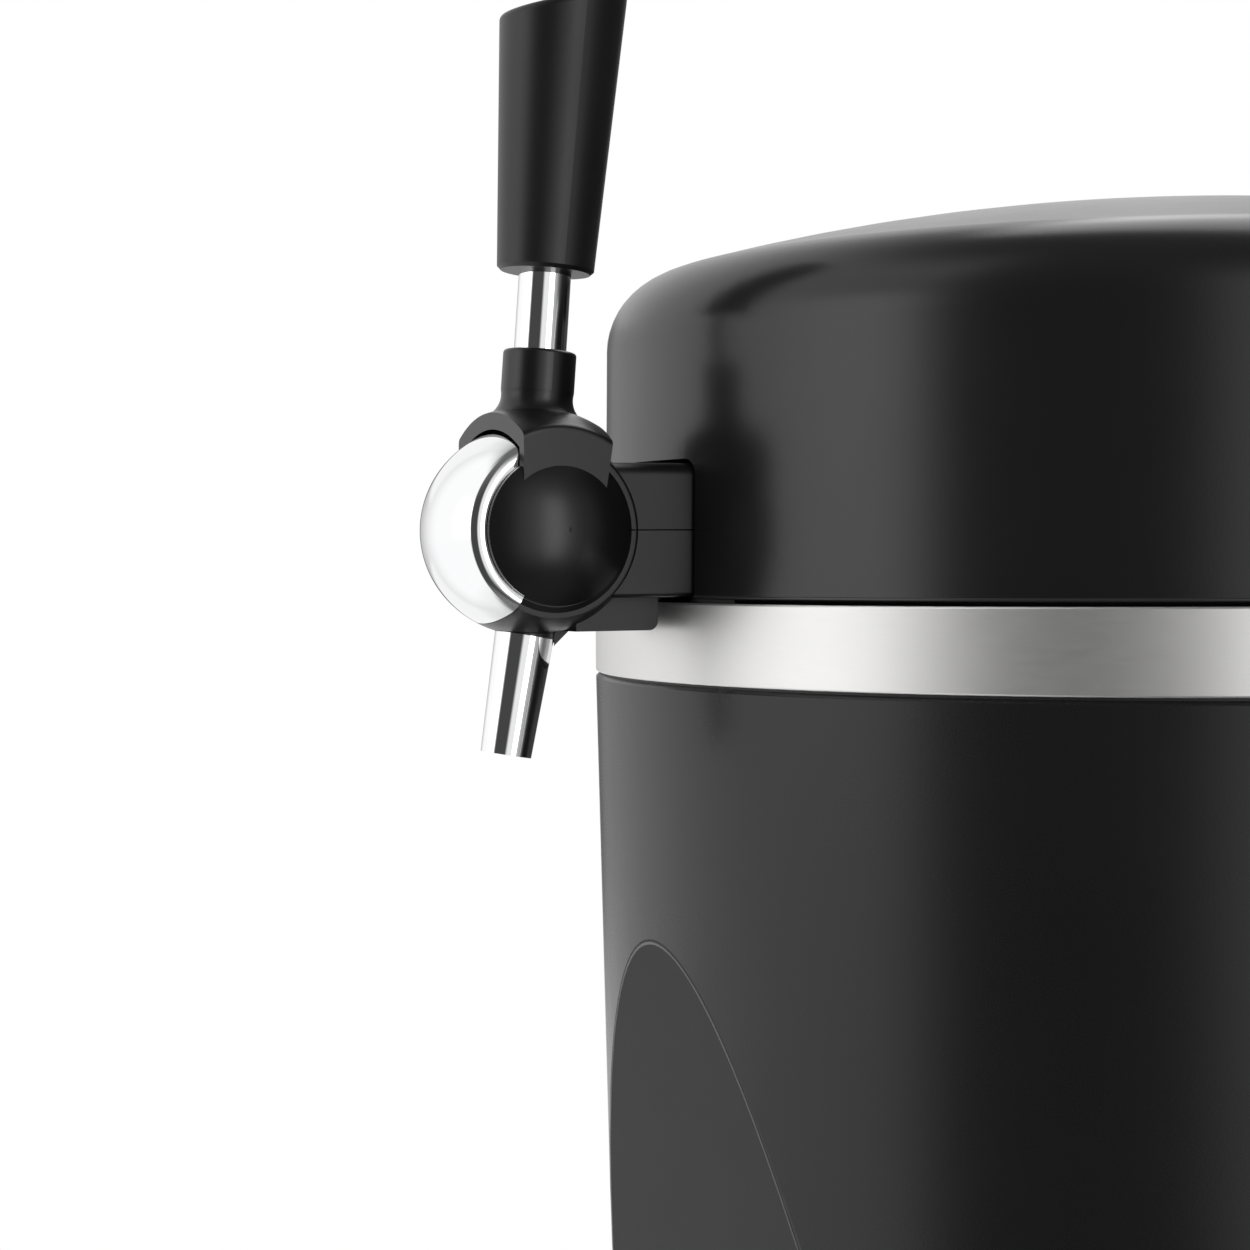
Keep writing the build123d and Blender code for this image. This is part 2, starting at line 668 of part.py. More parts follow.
# Rim collar: moulded ring between shell, band and liner
COLLAR_R = BODY_R - BAND_T - RUNNING
COLLAR_SPIGOT_R = inner_radius(SHELL_TOP - COLLAR_SPIGOT) - FIT
COLLAR_BORE = LINER_OUT + FIT
with BuildPart() as rim_collar:
    with BuildSketch(PROFILE):
        ring_profile(
            [
                (COLLAR_SPIGOT_R - COLLAR_WALL, SHELL_TOP - COLLAR_SPIGOT),
                (COLLAR_SPIGOT_R, SHELL_TOP - COLLAR_SPIGOT),
                (COLLAR_SPIGOT_R, SHELL_TOP),
                (COLLAR_R, SHELL_TOP),
                (COLLAR_R, COLLAR_TOP),
                (FLANGE_R + FIT, COLLAR_TOP),
                (FLANGE_R + FIT, COLLAR_TOP - LINER_T),
                (COLLAR_BORE, COLLAR_TOP - LINER_T),
                (COLLAR_BORE, COLLAR_TOP - COLLAR_DEPTH),
                (COLLAR_BORE + COLLAR_WALL, COLLAR_TOP - COLLAR_DEPTH),
                (COLLAR_BORE + COLLAR_WALL, COLLAR_TOP - LINER_T - COLLAR_PLATE),
                (COLLAR_SPIGOT_R - COLLAR_WALL, COLLAR_TOP - LINER_T - COLLAR_PLATE),
            ]
        )
    revolve(axis=CABINET_AXIS)
    with BuildSketch(level(COLLAR_TOP)):
        tap_screw_circles(TAP_BOSS_R)
    extrude(amount=-TAP_SCREW_DEPTH)
    with BuildSketch(level(COLLAR_TOP)):
        tap_screw_circles(SCREW_R + RUNNING)
    extrude(amount=-TAP_SCREW_DEPTH, mode=Mode.SUBTRACT)
finish(rim_collar, "rim_collar")

# Keg liner: drawn cup with a flange that hangs on the collar
with BuildPart() as keg_liner:
    with BuildSketch(PROFILE):
        with BuildLine():
            Polyline(
                (0, LINER_FOOT),
                (LINER_OUT, LINER_FOOT),
                (LINER_OUT, COLLAR_TOP - LINER_T),
                (FLANGE_R, COLLAR_TOP - LINER_T),
                (FLANGE_R, COLLAR_TOP),
                (LINER_R, COLLAR_TOP),
                (LINER_R, LINER_FOOT + LINER_T),
                (0, LINER_FOOT + LINER_T),
                close=True,
            )
        make_face()
        fillet(
            vertices().sort_by_distance((LINER_OUT, LINER_FOOT, 0))[0],
            radius=LINER_CORNER + LINER_T,
        )
        fillet(
            vertices().sort_by_distance((LINER_R, LINER_FOOT + LINER_T, 0))[0],
            radius=LINER_CORNER,
        )
    revolve(axis=CABINET_AXIS)
finish(keg_liner, "keg_liner")

# Foam between liner and shell, open behind for the cooler
FOAM_TOP = COLLAR_TOP - COLLAR_DEPTH - FIT
FOAM_R = COLLAR_SPIGOT_R - COLLAR_WALL - FIT
FOAM_LOW_R = inner_radius(DECK_TOP) - FIT
BAY_HALF_W = PANEL_HALF_W + PANEL_LAP
with BuildPart() as insulation_jacket:
    with BuildSketch(PROFILE):
        ring_profile(
            [
                (0, DECK_TOP),
                (FOAM_LOW_R, DECK_TOP),
                (FOAM_R, FOAM_TOP - COLLAR_SPIGOT),
                (FOAM_R, FOAM_TOP),
                (LINER_OUT + FIT, FOAM_TOP),
                (LINER_OUT + FIT, LINER_FOOT),
                (0, LINER_FOOT),
            ]
        )
    revolve(axis=CABINET_AXIS)
    with BuildSketch(SIDE):
        facet_cut(SHELL_WALL + FIT)
    extrude(amount=BODY_R, both=True, mode=Mode.SUBTRACT)
    with BuildSketch(level(DECK_TOP)):
        with Locations((0, LINER_OUT - COLD_BLOCK / 2)):
            Rectangle(2 * BAY_HALF_W, BODY_R, align=(Align.CENTER, Align.MIN))
    extrude(amount=PANEL_Z1 + PANEL_LAP - DECK_TOP, mode=Mode.SUBTRACT)
finish(insulation_jacket, "insulation_jacket")

# Cooler: cold block on the liner, Peltier module, finned heat sink and fan
COOLER_VIEW = Plane(origin=(0, AXIS_Y, COOLER_Z), x_dir=(-1, 0, 0), z_dir=(0, 1, 0))

with BuildPart() as cold_block:
    with BuildSketch(COOLER_VIEW.offset(LINER_OUT + COLD_BLOCK_T)):
        RectangleRounded(COLD_BLOCK, COLD_BLOCK, COLD_BLOCK_T / 2)
    extrude(amount=-COLD_BLOCK / 2)
    with BuildSketch(level(0)):
        Circle(LINER_OUT + RUNNING)
    extrude(amount=BODY_TOP, mode=Mode.SUBTRACT)
finish(cold_block, "cold_block")

with BuildPart() as peltier_module:
    with BuildSketch(COOLER_VIEW.offset(LINER_OUT + COLD_BLOCK_T)):
        Rectangle(PELTIER, PELTIER)
    extrude(amount=PELTIER_T)
finish(peltier_module, "peltier_module")

with BuildPart() as heat_sink:
    with BuildSketch(COOLER_VIEW.offset(SINK_Y0)):
        Rectangle(SINK, SINK)
    extrude(amount=SINK_BASE)
    with BuildSketch(COOLER_VIEW.offset(SINK_Y0 + SINK_BASE)):
        with GridLocations((SINK - SINK_FIN_T) / (SINK_FINS - 1), 1, SINK_FINS, 1):
            Rectangle(SINK_FIN_T, SINK)
    extrude(amount=SINK_FIN_H)
    with BuildSketch(COOLER_VIEW.offset(SINK_Y0)):
        with GridLocations(FAN_SCREW_SPAN, FAN_SCREW_SPAN, 2, 2):
            Circle(SCREW_R + RUNNING)
    extrude(amount=SINK_BASE + SINK_FIN_H, mode=Mode.SUBTRACT)
finish(heat_sink, "heat_sink")

with BuildPart() as fan_frame:
    with BuildSketch(COOLER_VIEW.offset(FAN_Y0)):
        RectangleRounded(FAN, FAN, FAN_CORNER)
        Circle(FAN_BORE_R, mode=Mode.SUBTRACT)
        with GridLocations(FAN_SCREW_SPAN, FAN_SCREW_SPAN, 2, 2):
            Circle(SCREW_R + RUNNING, mode=Mode.SUBTRACT)
    extrude(amount=FAN_T)
    with BuildSketch(COOLER_VIEW.offset(FAN_Y0 + FAN_T - FAN_STRUT_T)):
        Circle(FAN_HUB_R)
        with PolarLocations(FAN_BORE_R / 2, 3, start_angle=90):
            Rectangle(FAN_BORE_R + FAN_STRUT, FAN_STRUT)
    extrude(amount=FAN_STRUT_T)
    with BuildSketch(COOLER_VIEW.offset(FAN_Y0 + FAN_EDGE_GAP)):
        Circle(FAN_SHAFT_R)
    extrude(amount=FAN_T - FAN_EDGE_GAP - FAN_STRUT_T)
finish(fan_frame, "fan_frame")

ROTOR_Y0 = FAN_Y0 + FAN_EDGE_GAP
ROTOR_T = FAN_T - FAN_STRUT_T - 2 * FAN_EDGE_GAP
BLADE_L = FAN_BORE_R - FAN_TIP_GAP - FAN_HUB_R + FAN_BLADE_ROOT
BLADE_W = ROTOR_T / sin(radians(FAN_PITCH))
with BuildPart() as fan_rotor:
    with Locations(COOLER_VIEW.offset(ROTOR_Y0 + ROTOR_T / 2)):
        with PolarLocations(FAN_HUB_R - FAN_BLADE_ROOT + BLADE_L / 2, FAN_BLADES):
            Box(BLADE_L, FAN_BLADE_T, BLADE_W, rotation=(90 - FAN_PITCH, 0, 0))
    with BuildSketch(COOLER_VIEW.offset(ROTOR_Y0)):
        Circle(FAN_BORE_R - FAN_TIP_GAP)
    extrude(amount=ROTOR_T, mode=Mode.INTERSECT)
    with BuildSketch(COOLER_VIEW.offset(ROTOR_Y0)):
        Circle(FAN_HUB_R)
    extrude(amount=ROTOR_T)
    with BuildSketch(COOLER_VIEW.offset(ROTOR_Y0)):
        Circle(FAN_SHAFT_R + RUNNING)
    extrude(amount=ROTOR_T, mode=Mode.SUBTRACT)
finish(fan_rotor, "fan_rotor")

with BuildPart() as fan_screws:
    with BuildSketch(COOLER_VIEW.offset(PANEL_Y1)):
        with GridLocations(FAN_SCREW_SPAN, FAN_SCREW_SPAN, 2, 2):
            Circle(SCREW_HEAD_R)
    extrude(amount=SCREW_HEAD_H)
    with BuildSketch(COOLER_VIEW.offset(SINK_Y0 + SINK_BASE / 2)):
        with GridLocations(FAN_SCREW_SPAN, FAN_SCREW_SPAN, 2, 2):
            Circle(SCREW_R)
    extrude(amount=PANEL_Y1 - SINK_Y0 - SINK_BASE / 2)
finish(fan_screws, "fan_screws")

# Flat rear panel with vents, switch hole and gland hole
PANEL_VIEW = front_view(-PANEL_Y0)
HOLE_W = SWITCH_W + 2 * SWITCH_WALL + FIT
HOLE_H = SWITCH_H + 2 * SWITCH_WALL + FIT
with BuildPart() as rear_panel:
    with BuildSketch(PANEL_VIEW):
        with Locations((0, (DECK_TOP + PANEL_Z1) / 2)):
            Rectangle(2 * PANEL_HALF_W, PANEL_Z1 - DECK_TOP)
        with Locations((0, COOLER_Z)):
            with GridLocations(1, VENT_PITCH, 1, VENT_ROWS):
                SlotOverall(VENT_W, VENT_SLOT, mode=Mode.SUBTRACT)
            with GridLocations(FAN_SCREW_SPAN, FAN_SCREW_SPAN, 2, 2):
                Circle(SCREW_R + RUNNING, mode=Mode.SUBTRACT)
        with Locations((0, INTAKE_Z)):
            with GridLocations(1, VENT_PITCH, 1, INTAKE_ROWS):
                SlotOverall(INTAKE_W, VENT_SLOT, mode=Mode.SUBTRACT)
        with Locations((-INLET_X, INLET_Z)):
            Rectangle(HOLE_W, HOLE_H, mode=Mode.SUBTRACT)
        with Locations((INLET_X, INLET_Z)):
            Circle(GLAND_R + RUNNING, mode=Mode.SUBTRACT)
    extrude(amount=-PANEL_T)
finish(rear_panel, "rear_panel")

# Power switch: a bezel through the panel and the rocker that turns in it
ROCKER_PIVOT_Y = PANEL_Y1 - ROCKER_SINK
with BuildPart() as switch_bezel:
    with BuildSketch(front_view(-PANEL_Y1)):
        with Locations((-INLET_X, INLET_Z)):
            RectangleRounded(SWITCH_W + 2 * SWITCH_RIM, SWITCH_H + 2 * SWITCH_RIM, SWITCH_CORNER)
    extrude(amount=-SWITCH_WALL)
    with BuildSketch(front_view(-PANEL_Y1)):
        with Locations((-INLET_X, INLET_Z)):
            Rectangle(SWITCH_W + 2 * SWITCH_WALL, SWITCH_H + 2 * SWITCH_WALL)
    extrude(amount=SWITCH_DEPTH)
    with BuildSketch(front_view(-PANEL_Y1 - SWITCH_WALL)):
        with Locations((-INLET_X, INLET_Z)):
            Rectangle(SWITCH_W, SWITCH_H)
    extrude(amount=SWITCH_DEPTH, mode=Mode.SUBTRACT)
    with BuildSketch(Plane(origin=(-INLET_X, AXIS_Y + ROCKER_PIVOT_Y, INLET_Z), z_dir=(1, 0, 0))):
        Circle(ROCKER_PIN_R + RUNNING)
    extrude(amount=SWITCH_W / 2 + SWITCH_WALL, both=True, mode=Mode.SUBTRACT)
finish(switch_bezel, "switch_bezel")

HALF_THROW = radians(SWITCH_THROW / 2)
ROCKER_VIEW = Plane(
    origin=(-INLET_X, AXIS_Y + ROCKER_PIVOT_Y, INLET_Z),
    x_dir=(0, -sin(HALF_THROW), cos(HALF_THROW)),
    z_dir=(-1, 0, 0),
)
ROCKER_HALF_H = SWITCH_H / 2 - ROCKER_GAP - ROCKER_FACE * sin(HALF_THROW)
with BuildPart() as switch_rocker:
    with BuildSketch(ROCKER_VIEW):
        with BuildLine():
            Polyline(
                (ROCKER_HALF_H, ROCKER_FACE),
                (ROCKER_HALF_H, -ROCKER_ROOT / 2),
                (0, -ROCKER_ROOT),
                (-ROCKER_HALF_H, -ROCKER_ROOT / 2),
                (-ROCKER_HALF_H, ROCKER_FACE),
            )
            ThreePointArc(
                (-ROCKER_HALF_H, ROCKER_FACE),
                (0, ROCKER_FACE - ROCKER_DIP),
                (ROCKER_HALF_H, ROCKER_FACE),
            )
        make_face()
    extrude(amount=SWITCH_W / 2 - ROCKER_GAP, both=True)
    with BuildSketch(ROCKER_VIEW):
        Circle(ROCKER_PIN_R)
    extrude(amount=SWITCH_W / 2 + SWITCH_WALL, both=True)
finish(switch_rocker, "switch_rocker")

# Gland for the mains lead
with BuildPart() as cord_gland:
    with BuildSketch(front_view(-PANEL_Y1)):
        with Locations((INLET_X, INLET_Z)):
            Circle(GLAND_R + GLAND_FLANGE)
    extrude(amount=-GLAND_FLANGE_T, taper=GLAND_DRAFT)
    with BuildSketch(front_view(-PANEL_Y1)):
        with Locations((INLET_X, INLET_Z)):
            Circle(GLAND_R)
    extrude(amount=GLAND_INSIDE)
    with BuildSketch(front_view(-PANEL_Y1 - GLAND_FLANGE_T)):
        with Locations((INLET_X, INLET_Z)):
            Circle(GLAND_BORE_R)
    extrude(amount=GLAND_INSIDE + GLAND_FLANGE_T, mode=Mode.SUBTRACT)
finish(cord_gland, "cord_gland")

# Lid: outer dome, foam, liner with the tunnel over the tap arm, and seal
NOTCH_HALF_W = ARM_HALF_W + NOTCH_GAP
NOTCH_TOP = TAP_Z + ARM_HALF_H + NOTCH_GAP
LINER_INSET = LID_WALL + LID_FOAM
FOAM_FIT = LID_WALL + FIT


def notch_plan(grow):
    """Front view of the gap over the tap arm, open below."""
    width = 2 * (NOTCH_HALF_W + grow)
    top = NOTCH_TOP + grow
    with Locations((0, top)):
        Rectangle(width, 2 * (top - COLLAR_TOP), align=(Align.CENTER, Align.MAX))
    fillet(vertices().group_by(Axis.Y)[-1], radius=NOTCH_EDGE + grow)


with BuildPart() as lid_shell:
    with BuildSketch(PROFILE):
        dome_profile(0, LID_FOOT)
    revolve(axis=CABINET_AXIS)
    with BuildSketch(PROFILE):
        dome_profile(LID_WALL, LID_FOOT)
    revolve(axis=CABINET_AXIS, mode=Mode.SUBTRACT)
    with BuildSketch(front_view(LID_R)):
        notch_plan(0)
    extrude(amount=-LID_R, mode=Mode.SUBTRACT)
    with BuildSketch(front_view(-LID_R)):
        rear_screw_circles(LEAF_SCREW_Z, SCREW_R + RUNNING)
    extrude(amount=LID_R / 4, both=True, mode=Mode.SUBTRACT)
finish(lid_shell, "lid_shell")

with BuildPart() as lid_liner:
    with BuildSketch(front_view(LID_R)):
        notch_plan(LID_LINER_T)
    extrude(amount=-LINER_INSET - NOTCH_HALF_W)
    with BuildSketch(PROFILE):
        dome_profile(FOAM_FIT, FLANGE_Z0)
    revolve(axis=CABINET_AXIS, mode=Mode.INTERSECT)
    with BuildSketch(PROFILE):
        dome_profile(LINER_INSET, FLANGE_Z0)
    revolve(axis=CABINET_AXIS)
    with BuildSketch(level(FLANGE_Z0)):
        Circle(LID_R - FOAM_FIT)
    extrude(amount=LID_LINER_T)
    with BuildSketch(PROFILE):
        dome_profile(LINER_INSET + LID_LINER_T, FLANGE_Z0)
    revolve(axis=CABINET_AXIS, mode=Mode.SUBTRACT)
    with BuildSketch(front_view(LID_R)):
        notch_plan(0)
    extrude(amount=-LID_R, mode=Mode.SUBTRACT)
finish(lid_liner, "lid_liner")

with BuildPart() as lid_insulation:
    with BuildSketch(PROFILE):
        dome_profile(FOAM_FIT, FLANGE_Z0 + LID_LINER_T + FIT)
    revolve(axis=CABINET_AXIS)
    with BuildSketch(PROFILE):
        dome_profile(LINER_INSET - FIT, FLANGE_Z0)
    revolve(axis=CABINET_AXIS, mode=Mode.SUBTRACT)
    with BuildSketch(front_view(LID_R)):
        notch_plan(LID_LINER_T + FIT)
    extrude(amount=-LID_R, mode=Mode.SUBTRACT)
finish(lid_insulation, "lid_insulation")

with BuildPart() as lid_seal:
    with BuildSketch(PROFILE):
        with Locations((LID_R - SEAL_INSET, COLLAR_TOP + SEAL_GAP)):
            Rectangle(SEAL_W, FLANGE_Z0 - COLLAR_TOP - SEAL_GAP, align=(Align.MIN, Align.MIN))
        fillet(vertices().group_by(Axis.Y)[0], radius=SEAL_EDGE)
    revolve(axis=CABINET_AXIS)
    with BuildSketch(front_view(LID_R)):
        notch_plan(LID_LINER_T)
    extrude(amount=-LID_R, mode=Mode.SUBTRACT)
finish(lid_seal, "lid_seal")

# Hinge: bracket on the cabinet, leaf on the lid, and the pin
HINGE_Y = AXIS_Y + HINGE_OUT
HINGE_SIDE = Plane(origin=(0, HINGE_Y, HINGE_Z), x_dir=(0, 1, 0), z_dir=(1, 0, 0))
SIDE_KNUCKLE_X = HINGE_MID_W / 2 + HINGE_SIDE_GAP
BRACKET_FACE = BODY_R + BRACKET_T
BRACKET_FOOT = HINGE_SCREW_Z - BRACKET_EDGE

with BuildPart() as hinge_bracket:
    with BuildSketch(front_view(-BRACKET_FACE)):
        with Locations((0, BRACKET_FOOT)):
            Rectangle(
                HINGE_W, HINGE_Z - BRACKET_FOOT - KNUCKLE_R / 2, align=(Align.CENTER, Align.MIN)
            )
        fillet(vertices().group_by(Axis.Y)[0], radius=HINGE_CORNER)
    extrude(amount=BODY_R / 3)
    with BuildSketch(HINGE_SIDE):
        Circle(KNUCKLE_R)
        with Locations((-(HINGE_OUT - BODY_R) + BRACKET_T, 0)):
            Rectangle(BRACKET_T, KNUCKLE_R, align=(Align.MAX, Align.MAX))
        with Locations((0, 0)):
            Rectangle((HINGE_OUT - BODY_R) - BRACKET_T / 2, KNUCKLE_R, align=(Align.MAX, Align.MAX))
    extrude(amount=HINGE_W / 2, both=True)
    with BuildSketch(level(PLINTH_TOP)):
        Circle(BODY_R + RUNNING)
    extrude(amount=HINGE_Z, mode=Mode.SUBTRACT)
    with BuildSketch(HINGE_SIDE):
        Circle(KNUCKLE_R + HINGE_SIDE_GAP)
        Rectangle(4 * KNUCKLE_R, 4 * KNUCKLE_R, align=(Align.CENTER, Align.MIN))
    extrude(amount=SIDE_KNUCKLE_X, both=True, mode=Mode.SUBTRACT)
    with BuildSketch(HINGE_SIDE):
        Circle(HINGE_PIN_R + RUNNING)
    extrude(amount=HINGE_W, both=True, mode=Mode.SUBTRACT)
    with BuildSketch(front_view(-BRACKET_FACE)):
        rear_screw_circles(HINGE_SCREW_Z, SCREW_R + RUNNING)
    extrude(amount=BODY_R / 3, mode=Mode.SUBTRACT)
finish(hinge_bracket, "hinge_bracket")

with BuildPart() as hinge_pin:
    with BuildSketch(HINGE_SIDE):
        Circle(HINGE_PIN_R)
    extrude(amount=HINGE_W / 2, both=True)
    for end in (HINGE_SIDE.offset(HINGE_W / 2), HINGE_SIDE.offset(-HINGE_W / 2 - PIN_HEAD_T)):
        with BuildSketch(end):
            Circle(PIN_HEAD_R)
        extrude(amount=PIN_HEAD_T)
finish(hinge_pin, "hinge_pin")

with BuildPart() as hinge_screws:
    with BuildSketch(front_view(-BRACKET_FACE)):
        rear_screw_circles(HINGE_SCREW_Z, SCREW_HEAD_R)
    extrude(amount=-SCREW_HEAD_H)
    with BuildSketch(front_view(-BRACKET_FACE)):
        rear_screw_circles(HINGE_SCREW_Z, SCREW_R)
    extrude(amount=BRACKET_T + 2 * SHELL_WALL)
finish(hinge_screws, "hinge_screws")

LEAF_FACE = LID_R + LEAF_T
LEAF_FOOT = HINGE_Z + KNUCKLE_R + LID_GAP
with BuildPart() as lid_hinge_leaf:
    with BuildSketch(front_view(-LEAF_FACE)):
        with Locations((0, LEAF_FOOT)):
            Rectangle(HINGE_W, HINGE_Z + LEAF_RISE - LEAF_FOOT, align=(Align.CENTER, Align.MIN))
        fillet(vertices().group_by(Axis.Y)[-1], radius=HINGE_CORNER)
    extrude(amount=BODY_R / 3)
    with BuildSketch(HINGE_SIDE):
        Circle(KNUCKLE_R)
        with Locations((0, 0)):
            Rectangle(HINGE_OUT - LID_TOP_R, KNUCKLE_R + LEAF_T, align=(Align.MAX, Align.MIN))
    extrude(amount=HINGE_MID_W / 2, both=True)
    with BuildSketch(PROFILE):
        ring_profile(
            [
                (0, BODY_TOP),
                (LID_R + RUNNING, BODY_TOP),
                (LID_R + RUNNING, LID_FOOT),
                (LID_TOP_R + RUNNING, LID_APEX),
                (0, LID_APEX),
            ]
        )
    revolve(axis=CABINET_AXIS, mode=Mode.SUBTRACT)
    with BuildSketch(HINGE_SIDE):
        Circle(HINGE_PIN_R + RUNNING)
    extrude(amount=HINGE_W, both=True, mode=Mode.SUBTRACT)
    with BuildSketch(front_view(-LEAF_FACE)):
        rear_screw_circles(LEAF_SCREW_Z, SCREW_R + RUNNING)
    extrude(amount=BODY_R / 3, mode=Mode.SUBTRACT)
finish(lid_hinge_leaf, "lid_hinge_leaf")

LEAF_SCREW_L = LEAF_FACE - sqrt((LID_R - LID_WALL) ** 2 - HINGE_SCREW_X**2)
with BuildPart() as leaf_screws:
    with BuildSketch(front_view(-LEAF_FACE)):
        rear_screw_circles(LEAF_SCREW_Z, SCREW_HEAD_R)
    extrude(amount=-SCREW_HEAD_H)
    with BuildSketch(front_view(-LEAF_FACE)):
        rear_screw_circles(LEAF_SCREW_Z, SCREW_R)
    extrude(amount=LEAF_SCREW_L)
finish(leaf_screws, "leaf_screws")

# Tap housing: a crowned drum and its arm, in an upper and a lower half
ARM_FRONT = TAP_REACH - DRUM_RECESS_R / 2
ARM_ROOM_W = ARM_HALF_W - ARM_WALL
ARM_ROOM_H = ARM_HALF_H - ARM_WALL
ARM_FOOT = TAP_Z - ARM_HALF_H


def drum_section():
    """Section of the drum's wall: crowned outside, grooved and ringed at both sides."""
    right = [
        (DRUM_HALF_W, DRUM_SIDE_R),
        (DRUM_HALF_W - DRUM_GROOVE, DRUM_SIDE_R),
        (DRUM_HALF_W - DRUM_GROOVE, DRUM_RIM_R),
        (DRUM_HALF_W, DRUM_RING_R),
        (DRUM_HALF_W, DRUM_RECESS_R),
        (DRUM_CAVITY_X, DRUM_RECESS_R),
        (DRUM_CAVITY_X, DRUM_CAVITY_R),
    ]
    left = [(-x, r) for x, r in reversed(right)]
    with BuildLine() as outline:
        ThreePointArc(left[-1], (0, DRUM_R), right[0])
        Polyline(*right, *left)
    make_face(outline.edges())


def half_disc(up):
    """Side view of a wall that carries the plug's journal, on one side of the seam."""
    Circle(DRUM_RECESS_R - FIT)
    Circle(PLUG_JOURNAL_R + RUNNING, mode=Mode.SUBTRACT)
    other_half(up)


def other_half(up, mode=Mode.SUBTRACT):
    """Side view of what lies across the seam."""
    with Locations((0, up * SEAM / 2)):
        Rectangle(
            2 * TAP_REACH, 2 * DRUM_R, align=(Align.CENTER, Align.MAX if up > 0 else Align.MIN), mode=mode
        )


def arm_half(up, wide, high, edge):
    """Front view of one half of the arm."""
    with Locations((0, TAP_Z + up * SEAM / 2)):
        Rectangle(2 * wide, high - SEAM / 2, align=(Align.CENTER, Align.MIN if up > 0 else Align.MAX))
    fillet(vertices().group_by(Axis.Y)[-1 if up > 0 else 0], radius=edge)


with BuildPart() as tap_upper_housing:
    with BuildSketch(front_view(ARM_FRONT)):
        arm_half(1, ARM_HALF_W, ARM_HALF_H, ARM_EDGE)
    extrude(amount=ARM_INNER - ARM_FRONT)
    for side in (1, -1):
        with BuildSketch(TAP_SIDE.offset(side * DISC_X)):
            Circle((DRUM_RIM_R + DRUM_SIDE_R) / 2)
        extrude(amount=side * DRUM_HALF_W, mode=Mode.SUBTRACT)
    with BuildSketch(tap_plane(-90)):
        drum_section()
    revolve(axis=TAP_AXIS, revolution_arc=90 + COVER_START - COVER_GAP)
    with BuildSketch(TAP_SIDE):
        Circle(DRUM_CAVITY_R)
    extrude(amount=DRUM_CAVITY_X, both=True, mode=Mode.SUBTRACT)
    with BuildSketch(front_view(ARM_FRONT)):
        arm_half(1, ARM_ROOM_W, ARM_ROOM_H, ARM_EDGE - ARM_WALL)
    extrude(amount=ARM_INNER + ARM_WALL - ARM_FRONT, mode=Mode.SUBTRACT)
    with BuildSketch(level(TAP_Z + SEAM / 2)):
        tap_screw_circles(TAP_BOSS_R)
    extrude(amount=ARM_ROOM_H)
    with BuildSketch(TAP_SIDE):
        other_half(1, Mode.ADD)
    extrude(amount=DRUM_R, both=True, mode=Mode.SUBTRACT)
    for side in (1, -1):
        with BuildSketch(TAP_SIDE.offset(side * DRUM_CAVITY_X)):
            half_disc(1)
        extrude(amount=side * (DISC_X - DRUM_CAVITY_X))
    with BuildSketch(level(TAP_Z)):
        tap_screw_circles(SCREW_R + RUNNING)
    extrude(amount=ARM_HALF_H, mode=Mode.SUBTRACT)
    with BuildSketch(level(TAP_Z + ARM_HALF_H)):
        tap_screw_circles(SCREW_HEAD_R + FIT)
    extrude(amount=-SCREW_HEAD_H, mode=Mode.SUBTRACT)
    with BuildSketch(front_view(ARM_FRONT)):
        with Locations((0, TAP_Z)):
            Circle(STUB_R + FIT)
    extrude(amount=ARM_INNER - ARM_FRONT, mode=Mode.SUBTRACT)
finish(tap_upper_housing, "tap_upper_housing")

